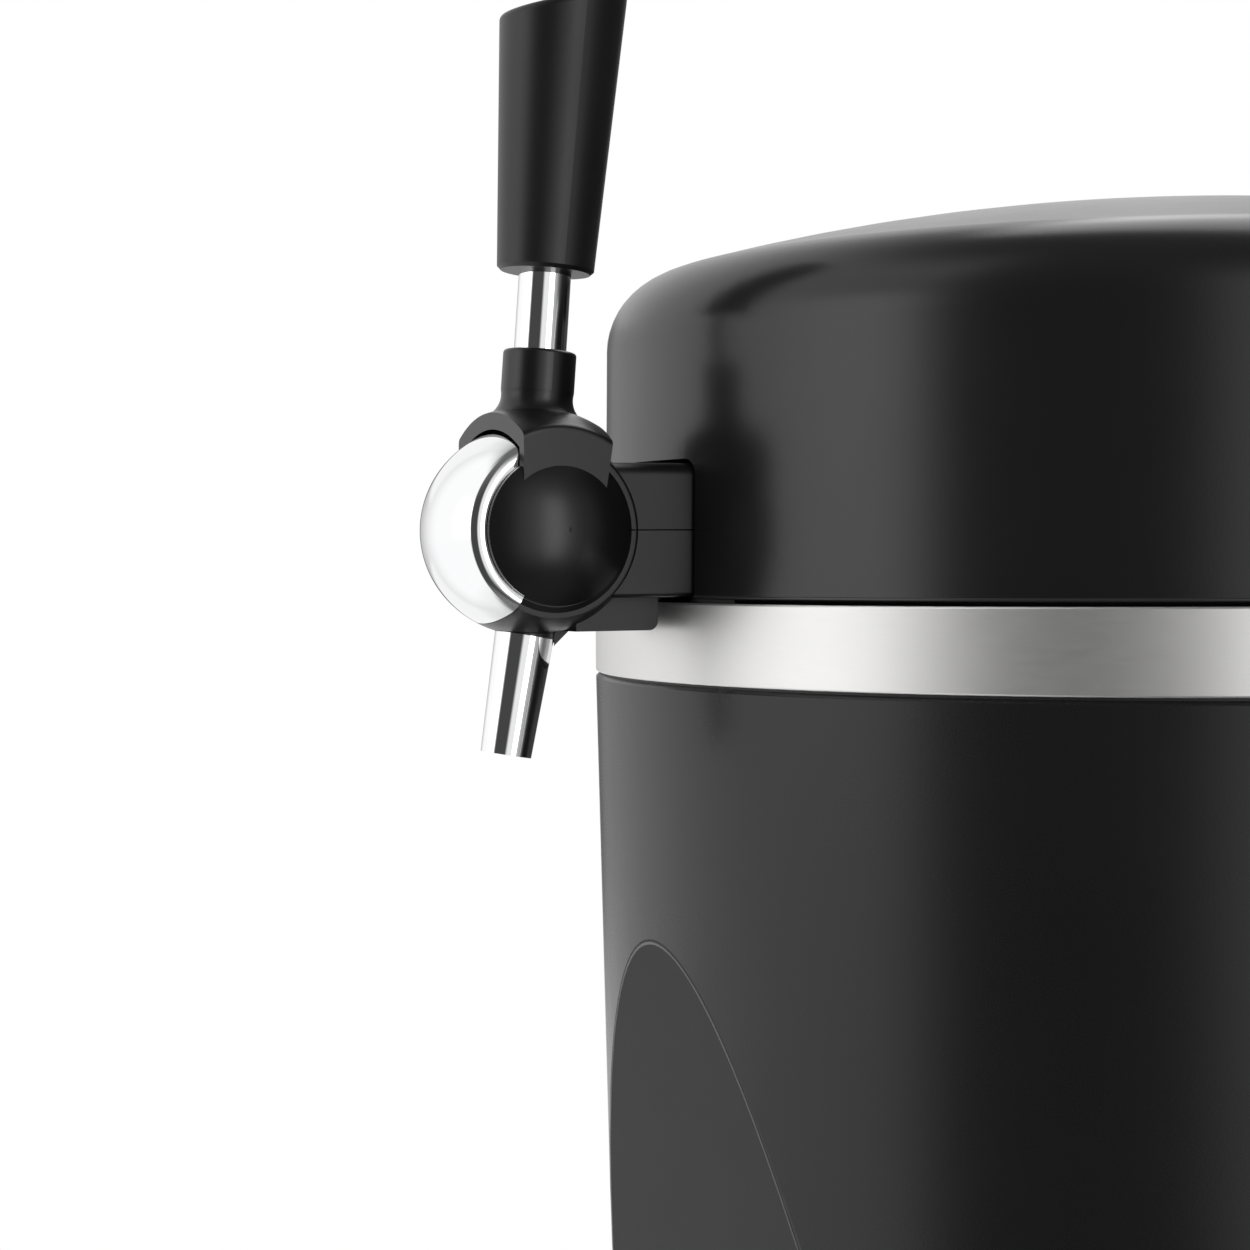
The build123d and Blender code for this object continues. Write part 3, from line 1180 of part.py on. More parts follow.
HOOK_BACK = BODY_R + HOOK_GAP
HOOK_FOOT = ARM_FOOT - HOOK_DROP
with BuildPart() as tap_lower_housing:
    with BuildSketch(front_view(ARM_FRONT)):
        arm_half(-1, ARM_HALF_W, ARM_HALF_H, ARM_EDGE / 3)
    extrude(amount=ARM_INNER - ARM_FRONT)
    for side in (1, -1):
        with BuildSketch(TAP_SIDE.offset(side * DISC_X)):
            Circle((DRUM_RIM_R + DRUM_SIDE_R) / 2)
        extrude(amount=side * DRUM_HALF_W, mode=Mode.SUBTRACT)
    with BuildSketch(SIDE):
        with Locations((HOOK_BACK, HOOK_FOOT)):
            Rectangle(HOOK_L, HOOK_DROP + ARM_WALL, align=(Align.MIN, Align.MIN))
        fillet(vertices().sort_by_distance((HOOK_BACK, HOOK_FOOT, 0))[0], radius=HOOK_EDGE)
    extrude(amount=HOOK_HALF_W, both=True)
    with BuildSketch(SIDE):
        with Locations((ARM_INNER, COLLAR_TOP)):
            Rectangle(
                LID_R - LINER_INSET - ARM_INNER,
                ARM_FOOT - COLLAR_TOP + ARM_WALL,
                align=(Align.MIN, Align.MIN),
            )
    extrude(amount=ARM_ROOM_W, both=True)
    with BuildSketch(tap_plane(COVER_END + COVER_GAP)):
        drum_section()
    revolve(axis=TAP_AXIS, revolution_arc=270 - COVER_END - COVER_GAP)
    with BuildSketch(SPOUT_PROFILE):
        ring_profile(
            [
                (0, DRUM_CAVITY_R),
                (SPOUT_TOP_R, DRUM_CAVITY_R),
                (SPOUT_TOP_R, SPOUT_SHOULDER),
                (0, SPOUT_SHOULDER),
            ]
        )
    revolve(axis=SPOUT_AXIS)
    with BuildSketch(TAP_SIDE):
        ring_profile(
            [
                (0, -DRUM_R - SPOUT_TOP_R),
                (-DRUM_R / 2, -DRUM_SIDE_R),
                (-DRUM_R / 2, -DRUM_CAVITY_R),
                (0, -DRUM_CAVITY_R),
            ]
        )
    extrude(amount=GUSSET_HALF_W, both=True)
    with BuildSketch(TAP_SIDE):
        Circle(DRUM_CAVITY_R)
    extrude(amount=DRUM_CAVITY_X, both=True, mode=Mode.SUBTRACT)
    with BuildSketch(front_view(ARM_FRONT)):
        arm_half(-1, ARM_ROOM_W, ARM_ROOM_H, ARM_EDGE - ARM_WALL)
    extrude(amount=ARM_INNER + ARM_WALL - ARM_FRONT, mode=Mode.SUBTRACT)
    with BuildSketch(level(TAP_Z - SEAM / 2)):
        tap_screw_circles(TAP_BOSS_R)
    extrude(amount=-ARM_ROOM_H)
    with BuildSketch(TAP_SIDE):
        other_half(-1, Mode.ADD)
    extrude(amount=DRUM_R, both=True, mode=Mode.SUBTRACT)
    for side in (1, -1):
        with BuildSketch(TAP_SIDE.offset(side * DRUM_CAVITY_X)):
            half_disc(-1)
        extrude(amount=side * (DISC_X - DRUM_CAVITY_X))
    with BuildSketch(level(TAP_Z)):
        tap_screw_circles(SCREW_R + RUNNING)
    extrude(amount=COLLAR_TOP - TAP_Z, mode=Mode.SUBTRACT)
    with BuildSketch(SPOUT_PROFILE):
        ring_profile(
            [
                (0, 0),
                (SPOUT_STEM_R + RUNNING, 0),
                (SPOUT_STEM_R + RUNNING, SPOUT_SHOULDER),
                (SPOUT_TOP_R + FIT, SPOUT_SHOULDER),
                (SPOUT_TOP_R + FIT, SPOUT_L),
                (0, SPOUT_L),
            ]
        )
    revolve(axis=SPOUT_AXIS, mode=Mode.SUBTRACT)
    with BuildSketch(front_view(ARM_FRONT)):
        with Locations((0, TAP_Z)):
            Circle(STUB_R + FIT)
    extrude(amount=ARM_INNER - ARM_FRONT, mode=Mode.SUBTRACT)
finish(tap_lower_housing, "tap_lower_housing")

with BuildPart() as tap_front_cover:
    with BuildSketch(tap_plane(COVER_START)):
        drum_section()
    revolve(axis=TAP_AXIS, revolution_arc=COVER_END - COVER_START)
finish(tap_front_cover, "tap_front_cover")

with BuildPart() as tap_screws:
    with BuildSketch(level(TAP_Z + ARM_HALF_H - SCREW_HEAD_H)):
        tap_screw_circles(SCREW_HEAD_R)
    extrude(amount=SCREW_HEAD_H)
    with BuildSketch(level(COLLAR_TOP - TAP_SCREW_DEPTH + FIT)):
        tap_screw_circles(SCREW_R)
    extrude(amount=TAP_Z + ARM_HALF_H - SCREW_HEAD_H - COLLAR_TOP + TAP_SCREW_DEPTH - FIT)
finish(tap_screws, "tap_screws")

# Valve: fixed body in the drum, turning plug with its seals
STUB_L = VALVE_R + STUB_OUT
with BuildPart() as valve_body:
    with BuildSketch(tap_plane(0)):
        Rectangle(2 * PLUG_X, VALVE_R, align=(Align.CENTER, Align.MIN))
    revolve(axis=TAP_AXIS)
    with BuildSketch(front_view(TAP_REACH)):
        with Locations((0, TAP_Z)):
            Circle(STUB_R)
    extrude(amount=-STUB_L)
    with BuildSketch(front_view(TAP_REACH)):
        with Locations((0, TAP_Z)):
            Circle(STUB_BORE_R)
    extrude(amount=-STUB_L, mode=Mode.SUBTRACT)
    with BuildSketch(SPOUT_PROFILE):
        ring_profile(
            [
                (0, 0),
                (PLUG_PORT_R, 0),
                (PLUG_PORT_R, SPOUT_STEM_START - FIT),
                (SPOUT_STEM_R + RUNNING, SPOUT_STEM_START - FIT),
                (SPOUT_STEM_R + RUNNING, DRUM_R),
                (0, DRUM_R),
            ]
        )
    revolve(axis=SPOUT_AXIS, mode=Mode.SUBTRACT)
    with BuildSketch(tap_plane(0)):
        Rectangle(2 * DRUM_HALF_W, PLUG_R + RUNNING, align=(Align.CENTER, Align.MIN))
    revolve(axis=TAP_AXIS, mode=Mode.SUBTRACT)
finish(valve_body, "valve_body")

JOURNAL_X = DISC_X + FIT
RING_R = PLUG_R - SEAL_RING_R
SEAL_RING_X = PLUG_X - SEAL_RING_IN
INLET_TURN = -90
OUTLET_TURN = 180 + degrees(asin(SPOUT_SET / PLUG_R - TILT_SIN))
with BuildPart() as valve_plug:
    with BuildSketch(tap_plane(0)):
        Rectangle(2 * PLUG_X, PLUG_R, align=(Align.CENTER, Align.MIN))
        Rectangle(2 * JOURNAL_X, PLUG_JOURNAL_R, align=(Align.CENTER, Align.MIN))
        with Locations((SEAL_RING_X, PLUG_R), (-SEAL_RING_X, PLUG_R)):
            Rectangle(
                2 * SEAL_RING_R + FIT,
                2 * SEAL_RING_R + RUNNING,
                align=(Align.CENTER, Align.MAX),
                mode=Mode.SUBTRACT,
            )
    revolve(axis=TAP_AXIS)
    with BuildSketch(LEVER_SIDE):
        Rectangle(PLUG_SQUARE, PLUG_SQUARE)
    extrude(amount=EAR_OUT, both=True)
    with Locations(TAP_AT):
        Sphere(PLUG_PORT_R + FIT, mode=Mode.SUBTRACT)
    for turn in (INLET_TURN - LEVER_PULL, OUTLET_TURN - LEVER_PULL):
        away = (0, -sin(radians(turn)), cos(radians(turn)))
        with BuildSketch(Plane(origin=TAP_AT, x_dir=(1, 0, 0), z_dir=away)):
            Circle(PLUG_PORT_R)
        extrude(amount=DRUM_R, mode=Mode.SUBTRACT)
finish(valve_plug, "valve_plug")

with BuildPart() as plug_seals:
    with BuildSketch(tap_plane(0)):
        with Locations((SEAL_RING_X, RING_R), (-SEAL_RING_X, RING_R)):
            Circle(SEAL_RING_R)
    revolve(axis=TAP_AXIS)
finish(plug_seals, "plug_seals")

with BuildPart() as spout:
    with BuildSketch(SPOUT_PROFILE):
        ring_profile(
            [
                (SPOUT_BORE_R, SPOUT_STEM_START),
                (SPOUT_STEM_R, SPOUT_STEM_START),
                (SPOUT_STEM_R, SPOUT_SHOULDER),
                (SPOUT_TOP_R, SPOUT_SHOULDER),
                (SPOUT_TIP_R, SPOUT_L),
                (SPOUT_BORE_R, SPOUT_L),
            ]
        )
    revolve(axis=SPOUT_AXIS)
finish(spout, "spout")

# Beer line inside the arm and the barbed spigot for the keg's own line
HOSE_FRONT = TAP_REACH - VALVE_R - FIT
HOSE_BACK = ARM_INNER + ARM_WALL + FIT
with BuildPart() as beer_hose:
    with BuildSketch(front_view(HOSE_FRONT)):
        with Locations((0, TAP_Z)):
            Circle(HOSE_BORE + HOSE_WALL)
            Circle(HOSE_BORE, mode=Mode.SUBTRACT)
    extrude(amount=HOSE_BACK - HOSE_FRONT)
finish(beer_hose, "beer_hose")

LINE_AXIS = Axis((0, AXIS_Y, TAP_Z), (0, 1, 0))
LINE_SIDE = Plane(origin=(0, AXIS_Y, TAP_Z), x_dir=(0, -1, 0), z_dir=(-1, 0, 0))
BARB_FOOT = ARM_INNER - BARB_FLANGE_T
BARB_STEP = BARB_L / BARB_RIDGES
SPIGOT_GRIP = ARM_INNER + TAP_SCREW_DEPTH
with BuildPart() as keg_line_spigot:
    ridges = []
    for row in range(BARB_RIDGES):
        ridges.append((BARB_FOOT - row * BARB_STEP, STUB_R))
        ridges.append((BARB_FOOT - row * BARB_STEP - BARB_STEP / 4, STUB_R + BARB_RIDGE))
    with BuildSketch(LINE_SIDE):
        ring_profile(
            [
                (SPIGOT_GRIP, STUB_BORE_R),
                (SPIGOT_GRIP, STUB_R),
                (ARM_INNER, STUB_R),
                (ARM_INNER, BARB_FLANGE_R),
                (BARB_FOOT, BARB_FLANGE_R),
                *ridges,
                (BARB_FOOT - BARB_L, STUB_R),
                (BARB_FOOT - BARB_L, STUB_BORE_R),
            ]
        )
    revolve(axis=LINE_AXIS)
finish(keg_line_spigot, "keg_line_spigot")

# Lever: yoke over the drum, pivot caps, rod and handle


def ear_plan(grow):
    """Side view of an ear: round below, wider up to the saddle."""
    low = EAR_HALF_W + grow
    high = EAR_TOP_HALF_W + grow
    top = SADDLE_R + grow
    Circle(low)
    Polygon((-low, 0), (low, 0), (high, top), (-high, top), align=None)


with BuildPart() as lever_yoke:
    with BuildSketch(LEVER_SIDE):
        ear_plan(0)
    extrude(amount=EAR_OUT, both=True)
    with BuildSketch(tap_plane(0)):
        crown(EAR_OUT, SADDLE_R, SADDLE_SIDE_R)
        fillet(vertices().group_by(Axis.Y)[-1], radius=SADDLE_EDGE)
    revolve(axis=TAP_AXIS, mode=Mode.INTERSECT)
    with BuildSketch(tap_plane(0)):
        crown(EAR_IN, DRUM_R + SADDLE_GAP, DRUM_SIDE_R + SADDLE_GAP)
    revolve(axis=TAP_AXIS, mode=Mode.SUBTRACT)
    with BuildSketch(LEVER_PROFILE):
        with BuildLine():
            foot = SADDLE_R - NECK_FLARE
            l1 = Line((0, foot), (NECK_R + NECK_FLARE, foot))
            l2 = TangentArc(l1 @ 1, (NECK_R, ROD_FOOT), tangent=(-1, 0.6))
            Polyline(l2 @ 1, (NECK_R, NECK_TOP), (0, NECK_TOP), (0, foot))
        make_face()
        fillet(vertices().sort_by_distance((NECK_R, NECK_TOP, 0))[0], radius=HANDLE_CHAMFER)
    revolve(axis=LEVER_AXIS)
    with BuildSketch(LEVER_PROFILE):
        with Locations((0, ROD_FOOT)):
            Rectangle(ROD_R + RUNNING, NECK_TOP - ROD_FOOT, align=(Align.MIN, Align.MIN))
    revolve(axis=LEVER_AXIS, mode=Mode.SUBTRACT)
    with BuildSketch(LEVER_SIDE):
        Rectangle(PLUG_SQUARE + 2 * RUNNING, PLUG_SQUARE + 2 * RUNNING)
    extrude(amount=EAR_OUT, both=True, mode=Mode.SUBTRACT)
finish(lever_yoke, "lever_yoke")

EAR_ROOM = EAR_OUT + RUNNING
for side, label in ((1, "pivot_cap_right"), (-1, "pivot_cap_left")):
    with BuildPart() as pivot_cap:
        with BuildSketch(tap_plane(0)):
            dome_r = (CAP_R**2 + (CAP_APEX - CAP_RIM) ** 2) / (2 * (CAP_APEX - CAP_RIM))
            mid_r = CAP_R / 2
            mid_x = CAP_APEX - dome_r + sqrt(dome_r**2 - mid_r**2)
            with BuildLine():
                Polyline((side * CAP_APEX, 0), (side * CAP_IN, 0), (side * CAP_IN, CAP_R))
                Line((side * CAP_IN, CAP_R), (side * CAP_RIM, CAP_R))
                ThreePointArc((side * CAP_RIM, CAP_R), (side * mid_x, mid_r), (side * CAP_APEX, 0))
            make_face()
        revolve(axis=TAP_AXIS)
        with BuildSketch(LEVER_SIDE.offset(-side * CAP_IN)):
            ear_plan(RUNNING)
        extrude(amount=-side * (EAR_ROOM - CAP_IN), mode=Mode.SUBTRACT)
    finish(pivot_cap, label)

with BuildPart() as lever_rod:
    with BuildSketch(LEVER_PROFILE):
        ring_profile(
            [
                (0, ROD_FOOT),
                (ROD_R, ROD_FOOT),
                (ROD_R, HANDLE_START),
                (ROD_TENON_R, HANDLE_START),
                (ROD_TENON_R, HANDLE_START + HANDLE_SINK),
                (0, HANDLE_START + HANDLE_SINK),
            ]
        )
    revolve(axis=LEVER_AXIS)
finish(lever_rod, "lever_rod")

SLANT = tan(radians(HANDLE_SLANT))
HANDLE_END = HANDLE_FRONT + 4 * HANDLE_TOP_R * SLANT
HANDLE_FLARE = (HANDLE_TOP_R - HANDLE_LOW_R) / (HANDLE_FRONT - HANDLE_START)
HANDLE_END_R = HANDLE_LOW_R + HANDLE_FLARE * (HANDLE_END - HANDLE_START)
with BuildPart() as lever_handle:
    with BuildSketch(LEVER_PROFILE):
        ring_profile(
            [
                (0, HANDLE_START),
                (HANDLE_LOW_R, HANDLE_START),
                (HANDLE_END_R, HANDLE_END),
                (0, HANDLE_END),
            ]
        )
        chamfer(
            vertices().sort_by_distance((HANDLE_LOW_R, HANDLE_START, 0))[0], length=HANDLE_CHAMFER
        )
    revolve(axis=LEVER_AXIS)
    with BuildSketch(LEVER_SIDE):
        ring_profile(
            [
                (2 * HANDLE_TOP_R, HANDLE_FRONT - HANDLE_TOP_R * SLANT),
                (-2 * HANDLE_TOP_R, HANDLE_FRONT + 3 * HANDLE_TOP_R * SLANT),
                (-2 * HANDLE_TOP_R, 2 * HANDLE_END),
                (2 * HANDLE_TOP_R, 2 * HANDLE_END),
            ]
        )
    extrude(amount=2 * HANDLE_TOP_R, both=True, mode=Mode.SUBTRACT)
    fillet(lever_handle.faces().sort_by(Axis.Z)[-1].edges(), radius=HANDLE_EDGE)
    with BuildSketch(LEVER_PROFILE):
        with Locations((0, HANDLE_START)):
            Rectangle(ROD_TENON_R + RUNNING, HANDLE_SINK + FIT, align=(Align.MIN, Align.MIN))
    revolve(axis=LEVER_AXIS, mode=Mode.SUBTRACT)
finish(lever_handle, "lever_handle")

# Drip tray on the shelf, and the slotted grid in it
LEDGE_IN = TRAY_WALL + GRID_LEDGE
with BuildPart() as drip_tray:
    with BuildSketch(level(TRAY_Z0)):
        tray_plan(0, TRAY_BACK, TRAY_CORNER)
    extrude(amount=TRAY_H)
    fillet(drip_tray.edges().group_by(Axis.Z)[0], radius=2 * TRAY_EDGE)
    with BuildSketch(level(GRID_Z0)):
        tray_plan(TRAY_WALL, TRAY_BACK + TRAY_WALL, TRAY_CORNER - TRAY_WALL)
    extrude(amount=TRAY_H, mode=Mode.SUBTRACT)
    with BuildSketch(level(TRAY_Z0 + TRAY_FLOOR)):
        tray_plan(LEDGE_IN, TRAY_BACK + LEDGE_IN, TRAY_CORNER - LEDGE_IN)
    extrude(amount=TRAY_H, mode=Mode.SUBTRACT)
    fillet(drip_tray.edges().group_by(Axis.Z)[-1], radius=TRAY_EDGE)
finish(drip_tray, "drip_tray")

GRID_IN = TRAY_WALL + GRID_GAP
FIELD_IN = GRID_IN + GRID_BORDER
FIELD_BACK = TRAY_BACK + FIELD_IN
FIELD_FRONT = TRAY_FRONT - FIELD_IN
GRID_ROWS = int((FIELD_FRONT - FIELD_BACK) / GRID_PITCH)
FIELD_R = TRAY_R - FIELD_IN
FIELD_MIDDLE = (FIELD_FRONT + FIELD_BACK) / 2
with BuildSketch(level(GRID_Z0)) as slot_field:
    for row in range(GRID_ROWS):
        front = FIELD_MIDDLE + (row - (GRID_ROWS - 1) / 2) * GRID_PITCH
        ahead = max(front + GRID_SLOT / 2 - TRAY_CENTRE, 0)
        slot_l = sqrt(max(FIELD_R**2 - ahead**2, 0)) - GRID_RIB / 2
        if slot_l > 3 * GRID_SLOT:
            with Locations((0, -front)):
                with GridLocations(slot_l + GRID_RIB, GRID_PITCH, 2, 1):
                    SlotOverall(slot_l, GRID_SLOT)

with BuildPart() as drip_grid:
    with BuildSketch(level(GRID_Z0 + RUNNING)):
        tray_plan(GRID_IN, TRAY_BACK + GRID_IN, TRAY_CORNER - GRID_IN)
    extrude(amount=GRID_T - RUNNING)
    extrude(slot_field.sketch, amount=2 * GRID_T, mode=Mode.SUBTRACT)
finish(drip_grid, "drip_grid")
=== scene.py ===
import json
import math
import random

import bmesh
import bpy
from bpy.props import FloatProperty, FloatVectorProperty, IntProperty, PointerProperty
from mathutils import Matrix, Vector


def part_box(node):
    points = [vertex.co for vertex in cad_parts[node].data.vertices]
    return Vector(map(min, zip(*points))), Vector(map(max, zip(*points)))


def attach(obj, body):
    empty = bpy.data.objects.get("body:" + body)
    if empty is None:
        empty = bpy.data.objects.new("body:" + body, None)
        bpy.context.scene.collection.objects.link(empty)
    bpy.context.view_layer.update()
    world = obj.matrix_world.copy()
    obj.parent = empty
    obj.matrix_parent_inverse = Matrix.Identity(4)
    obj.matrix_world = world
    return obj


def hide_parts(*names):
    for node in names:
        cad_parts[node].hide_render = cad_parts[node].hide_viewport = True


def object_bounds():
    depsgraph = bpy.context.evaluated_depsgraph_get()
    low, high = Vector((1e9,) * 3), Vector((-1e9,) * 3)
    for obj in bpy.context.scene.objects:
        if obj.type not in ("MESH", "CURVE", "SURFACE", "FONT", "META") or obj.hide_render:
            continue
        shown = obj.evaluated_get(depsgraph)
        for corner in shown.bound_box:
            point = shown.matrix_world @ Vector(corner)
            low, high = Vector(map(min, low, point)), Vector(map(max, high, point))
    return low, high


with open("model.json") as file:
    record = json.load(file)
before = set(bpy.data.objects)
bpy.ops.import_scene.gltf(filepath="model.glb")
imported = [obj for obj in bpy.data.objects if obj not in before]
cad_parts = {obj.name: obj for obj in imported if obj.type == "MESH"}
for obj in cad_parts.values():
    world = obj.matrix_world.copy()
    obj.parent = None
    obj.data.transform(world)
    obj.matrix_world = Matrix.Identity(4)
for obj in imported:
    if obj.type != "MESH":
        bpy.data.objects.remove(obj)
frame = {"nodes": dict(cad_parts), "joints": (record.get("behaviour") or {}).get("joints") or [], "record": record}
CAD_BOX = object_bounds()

bl_info = {
    "name": "Draft beer dispenser",
    "version": (1, 0, 0),
    "blender": (4, 5, 0),
    "location": "View3D > Sidebar > Dispenser",
    "description": "Finishes and small parts of a counter-top draft beer dispenser",
    "category": "Object",
}

MM = 0.001
BAND_LOW, BAND_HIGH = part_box("steel_band")
AXIS_Y = (BAND_LOW.y + BAND_HIGH.y) / 2  # the cabinet is round about this line
TAP_PIVOT = Vector(next(j for j in frame["joints"] if j["name"] == "lever_pull")["pos_m"])
BODY_OF = {node: body for body, group in frame["record"]["behaviour"]["bodies"].items() for node in group}
BOARD_LOW, BOARD_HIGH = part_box("power_board")
BOARD_THICKNESS = 1.6 * MM
FAN_LOW, FAN_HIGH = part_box("fan_rotor")
FACE_LEAN = math.radians(10.0)  # of the slanted front face, inwards towards the floor
FACE_FLATNESS = 0.9995  # least cosine between the slanted face and a facet that belongs to it
CREST_FOLD = math.radians(45)  # the arched edge folds less than this, the face's other edges more
WELD = 1e-6  # corners closer than this are one

# Screws: which way each group points, then shares of a screw's shank and head
SCREW_AXES = {
    "foot_screws": "z",
    "fan_screws": "y",
    "hinge_screws": "y",
    "leaf_screws": "y",
    "tap_screws": "z",
}
HEAD_RIM = 0.9  # points further out than this share of the largest radius are on the head
HEAD_DOME = 0.55  # power that flattens the top of a round head
RECESS_LIMIT = 0.7  # deepest recess, as a share of the head's height
THREAD_CORE = 0.82  # radius under the thread
THREAD_RIDGE = 0.17  # radius of the thread's ridge
THREAD_LENGTH = 0.94

# Steps of the round stretches
COVER_STEPS = 120
CROWN_STEPS = 20
COVER_EDGE_STEPS = 12
GRID_FRONT_STEPS = 96
GRID_CORNER_STEPS = 12
SLOT_END_STEPS = 8
MARK_RING_STEPS = 32
FLOOR_STEPS = 96

# Drip grid and switch marks
LEAST_SLOT = 3  # slot widths; a shorter slot is left out
MARK_OFFSET = 4.6 * MM  # of each mark from the rocker's middle
MARK_EYE = 20 * MM  # how far behind the rocker its face is looked for
MARK_BAR = (0.6 * MM, 3.0 * MM, 0.24 * MM)
MARK_BAR_EDGE = 0.06 * MM
MARK_RING = (  # radius and height round the ring's section
    (1.1 * MM, -0.1 * MM),
    (1.1 * MM, 0.1 * MM),
    (1.2 * MM, 0.12 * MM),
    (1.5 * MM, 0.12 * MM),
    (1.6 * MM, 0.1 * MM),
    (1.6 * MM, -0.1 * MM),
)

# Camera
EYE = Vector((0.5151, -0.3425, 0.314))
EYE_AZIMUTH = math.radians(54.0)
EYE_TURN = math.radians(11.59)
EYE_PITCH = math.radians(-1.68)
EYE_ROLL = math.radians(-0.35)
SENSOR_WIDTH = 36.0

# Walls that gloss mirrors, each by the start and end of its two soft edges, in degrees from the front
WHITE_WALL = (-102.0, -99.0, 3.0, 16.0)
PALE_WALL = (60.0, 72.0, 97.0, 145.0)
BACKDROP = (-150.0, -122.0, -110.0, -106.0)
FAR_WALL = (-135.0, -125.0, -80.0, -72.0)  # above and below the level of the eye only
GLOW_TURN = (-105.0, -55.0)  # the white wall grows brighter from left to right
BRIGHT_TURN = (-40.0, -2.0)  # and brightest at its right end, at the level of the eye

# Fades of those walls by height, from -1 straight down to 1 straight up
OVERHEAD = (0.35, 0.9)
BELOW = (-0.25, -0.6)
WHITE_TOP = (0.97, 0.75)
WHITE_FOOT = (-1.0, -0.8)
BRIGHT_TOP = (0.5, 0.3)
BRIGHT_FOOT = (-0.14, -0.02)
FAR_TOP = (0.9, 0.6)
FAR_FOOT = (-0.9, -0.6)
FAR_GAP = (0.012, 0.04)  # of the height squared

# Levels of light
GLOW_LEVELS = (0.5, 1.05)
BRIGHT_LEVEL = 0.9
PALE_LEVEL = 0.87
BACKDROP_LEVEL = 0.8
FAR_LEVEL = 0.97
DARK_LEVEL = 0.06
CEILING_LEVEL = 0.14
ROOM_LEVEL = 0.42  # even light on what isn't glossy
FLOOR_LOSS = 0.7  # share of the floor that gloss doesn't mirror
FLOOR_FADE = (0.6, 0.99)  # shares of the floor's radius


class Wire:
    """One output of a node tree. Arithmetic on it adds Math nodes."""

    def __init__(self, nodes, socket):
        self.nodes = nodes
        self.socket = socket

    def maths(self, operation, first, second):
        return self.nodes.add("ShaderNodeMath", {0: first, 1: second}, operation=operation)

    def __add__(self, other):
        return self.maths("ADD", self, other)

    def __sub__(self, other):
        return self.maths("SUBTRACT", self, other)

    def __rsub__(self, other):
        return self.maths("SUBTRACT", other, self)

    def __mul__(self, other):
        return self.maths("MULTIPLY", self, other)

    def __truediv__(self, other):
        return self.maths("DIVIDE", self, other)

    def __pow__(self, other):
        return self.maths("POWER", self, other)

    def __gt__(self, other):
        return self.maths("GREATER_THAN", self, other)

    def __lt__(self, other):
        return self.maths("LESS_THAN", self, other)

    __radd__ = __add__
    __rmul__ = __mul__


class Nodes:
    """A node tree that is filled one node at a time."""

    def __init__(self, tree):
        self.tree = tree
        self.tree.nodes.clear()

    def add(self, kind, sockets=None, out=0, **settings):
        """Adds a node: its settings first, then the values or links of its sockets."""
        made = self.tree.nodes.new(kind)
        for key, value in settings.items():
            setattr(made, key, value)
        for key, value in (sockets or {}).items():
            for source in value if isinstance(value, list) else [value]:
                if isinstance(source, Wire):
                    self.tree.links.new(source.socket, made.inputs[key])
                else:
                    made.inputs[key].default_value = source
        return Wire(self, made.outputs[out])

    def close(self, kind, result):
        """Ends the tree with its output node."""
        output = self.tree.nodes.new(kind)
        self.tree.links.new(result.socket, output.inputs[0])

    def vector(self, x=0.0, y=0.0, z=0.0):
        return self.add("ShaderNodeCombineXYZ", {0: x, 1: y, 2: z})

    def split(self, vector):
        """The three parts of a vector."""
        parts = self.add("ShaderNodeSeparateXYZ", {0: vector}).socket.node
        return [Wire(self, socket) for socket in parts.outputs]

    def fade(self, value, low, high, to_low=0.0, to_high=1.0):
        """A smooth step of a value from low to high."""
        sockets = {"Value": value, 1: low, 2: high, 3: to_low, 4: to_high}
        return self.add("ShaderNodeMapRange", sockets, interpolation_type="SMOOTHSTEP")


class Finish(Nodes):
    """A procedural material with the textures that these finishes share."""

    def __init__(self, name):
        self.material = bpy.data.materials.new(name)
        self.material.use_nodes = True
        super().__init__(self.material.node_tree)
        self.place = self.add("ShaderNodeTexCoord", out="Object")
        self.x, self.y, self.z = self.split(self.place)

    def noise(self, size, detail=2.0, roughness=0.5, vector=None):
        """Cloudy noise with grains of a size in metres, from 0 to 1."""
        sockets = {"Scale": 1.0 / size, "Detail": detail, "Roughness": roughness}
        sockets["Vector"] = vector or self.place
        return self.add("ShaderNodeTexNoise", sockets)

    def cells(self, size):
        """Distance to the nearest cell's middle, with cells of a size in metres."""
        return self.add("ShaderNodeTexVoronoi", {"Vector": self.place, "Scale": 1.0 / size})

    def around(self, across, along):
        """Angle about an axis and distance from it, given the two distances that make it up."""
        angle = across.maths("ARCTAN2", along, across)
        return angle, (across * across + along * along) ** 0.5

    def tint(self, factor, first, second):
        """A colour between two colours."""
        first = first if isinstance(first, Wire) else (*first, 1.0)
        second = second if isinstance(second, Wire) else (*second, 1.0)
        return self.add("ShaderNodeMix", {0: factor, 6: first, 7: second}, out=2, data_type="RGBA")

    def shades(self, factor, colour, start, end):
        """A colour that runs from one multiple of itself to another."""
        return self.tint(factor, scaled(colour, start), scaled(colour, end))

    def relief(self, height, depth, strength=0.6):
        """A bump of a depth in metres."""
        sockets = {"Height": height, "Distance": depth, "Strength": strength}
        return self.add("ShaderNodeBump", sockets)

    def done(self, colour, roughness, normal, metallic=0.0, specular=0.5, transmission=0.0):
        """Closes the material with one Principled shader."""
        sockets = {
            "Base Color": colour,
            "Roughness": roughness,
            "Normal": normal,
            "Metallic": metallic,
            "Specular IOR Level": specular,
            "Transmission Weight": transmission,
        }
        self.close("ShaderNodeOutputMaterial", self.add("ShaderNodeBsdfPrincipled", sockets))
        return self.material


def scaled(colour, factor):
    return tuple(channel * factor for channel in colour)


def mixed(first, second, share):
    """Two textures in one, with a share of the second."""
    return first * (1 - share) + second * share


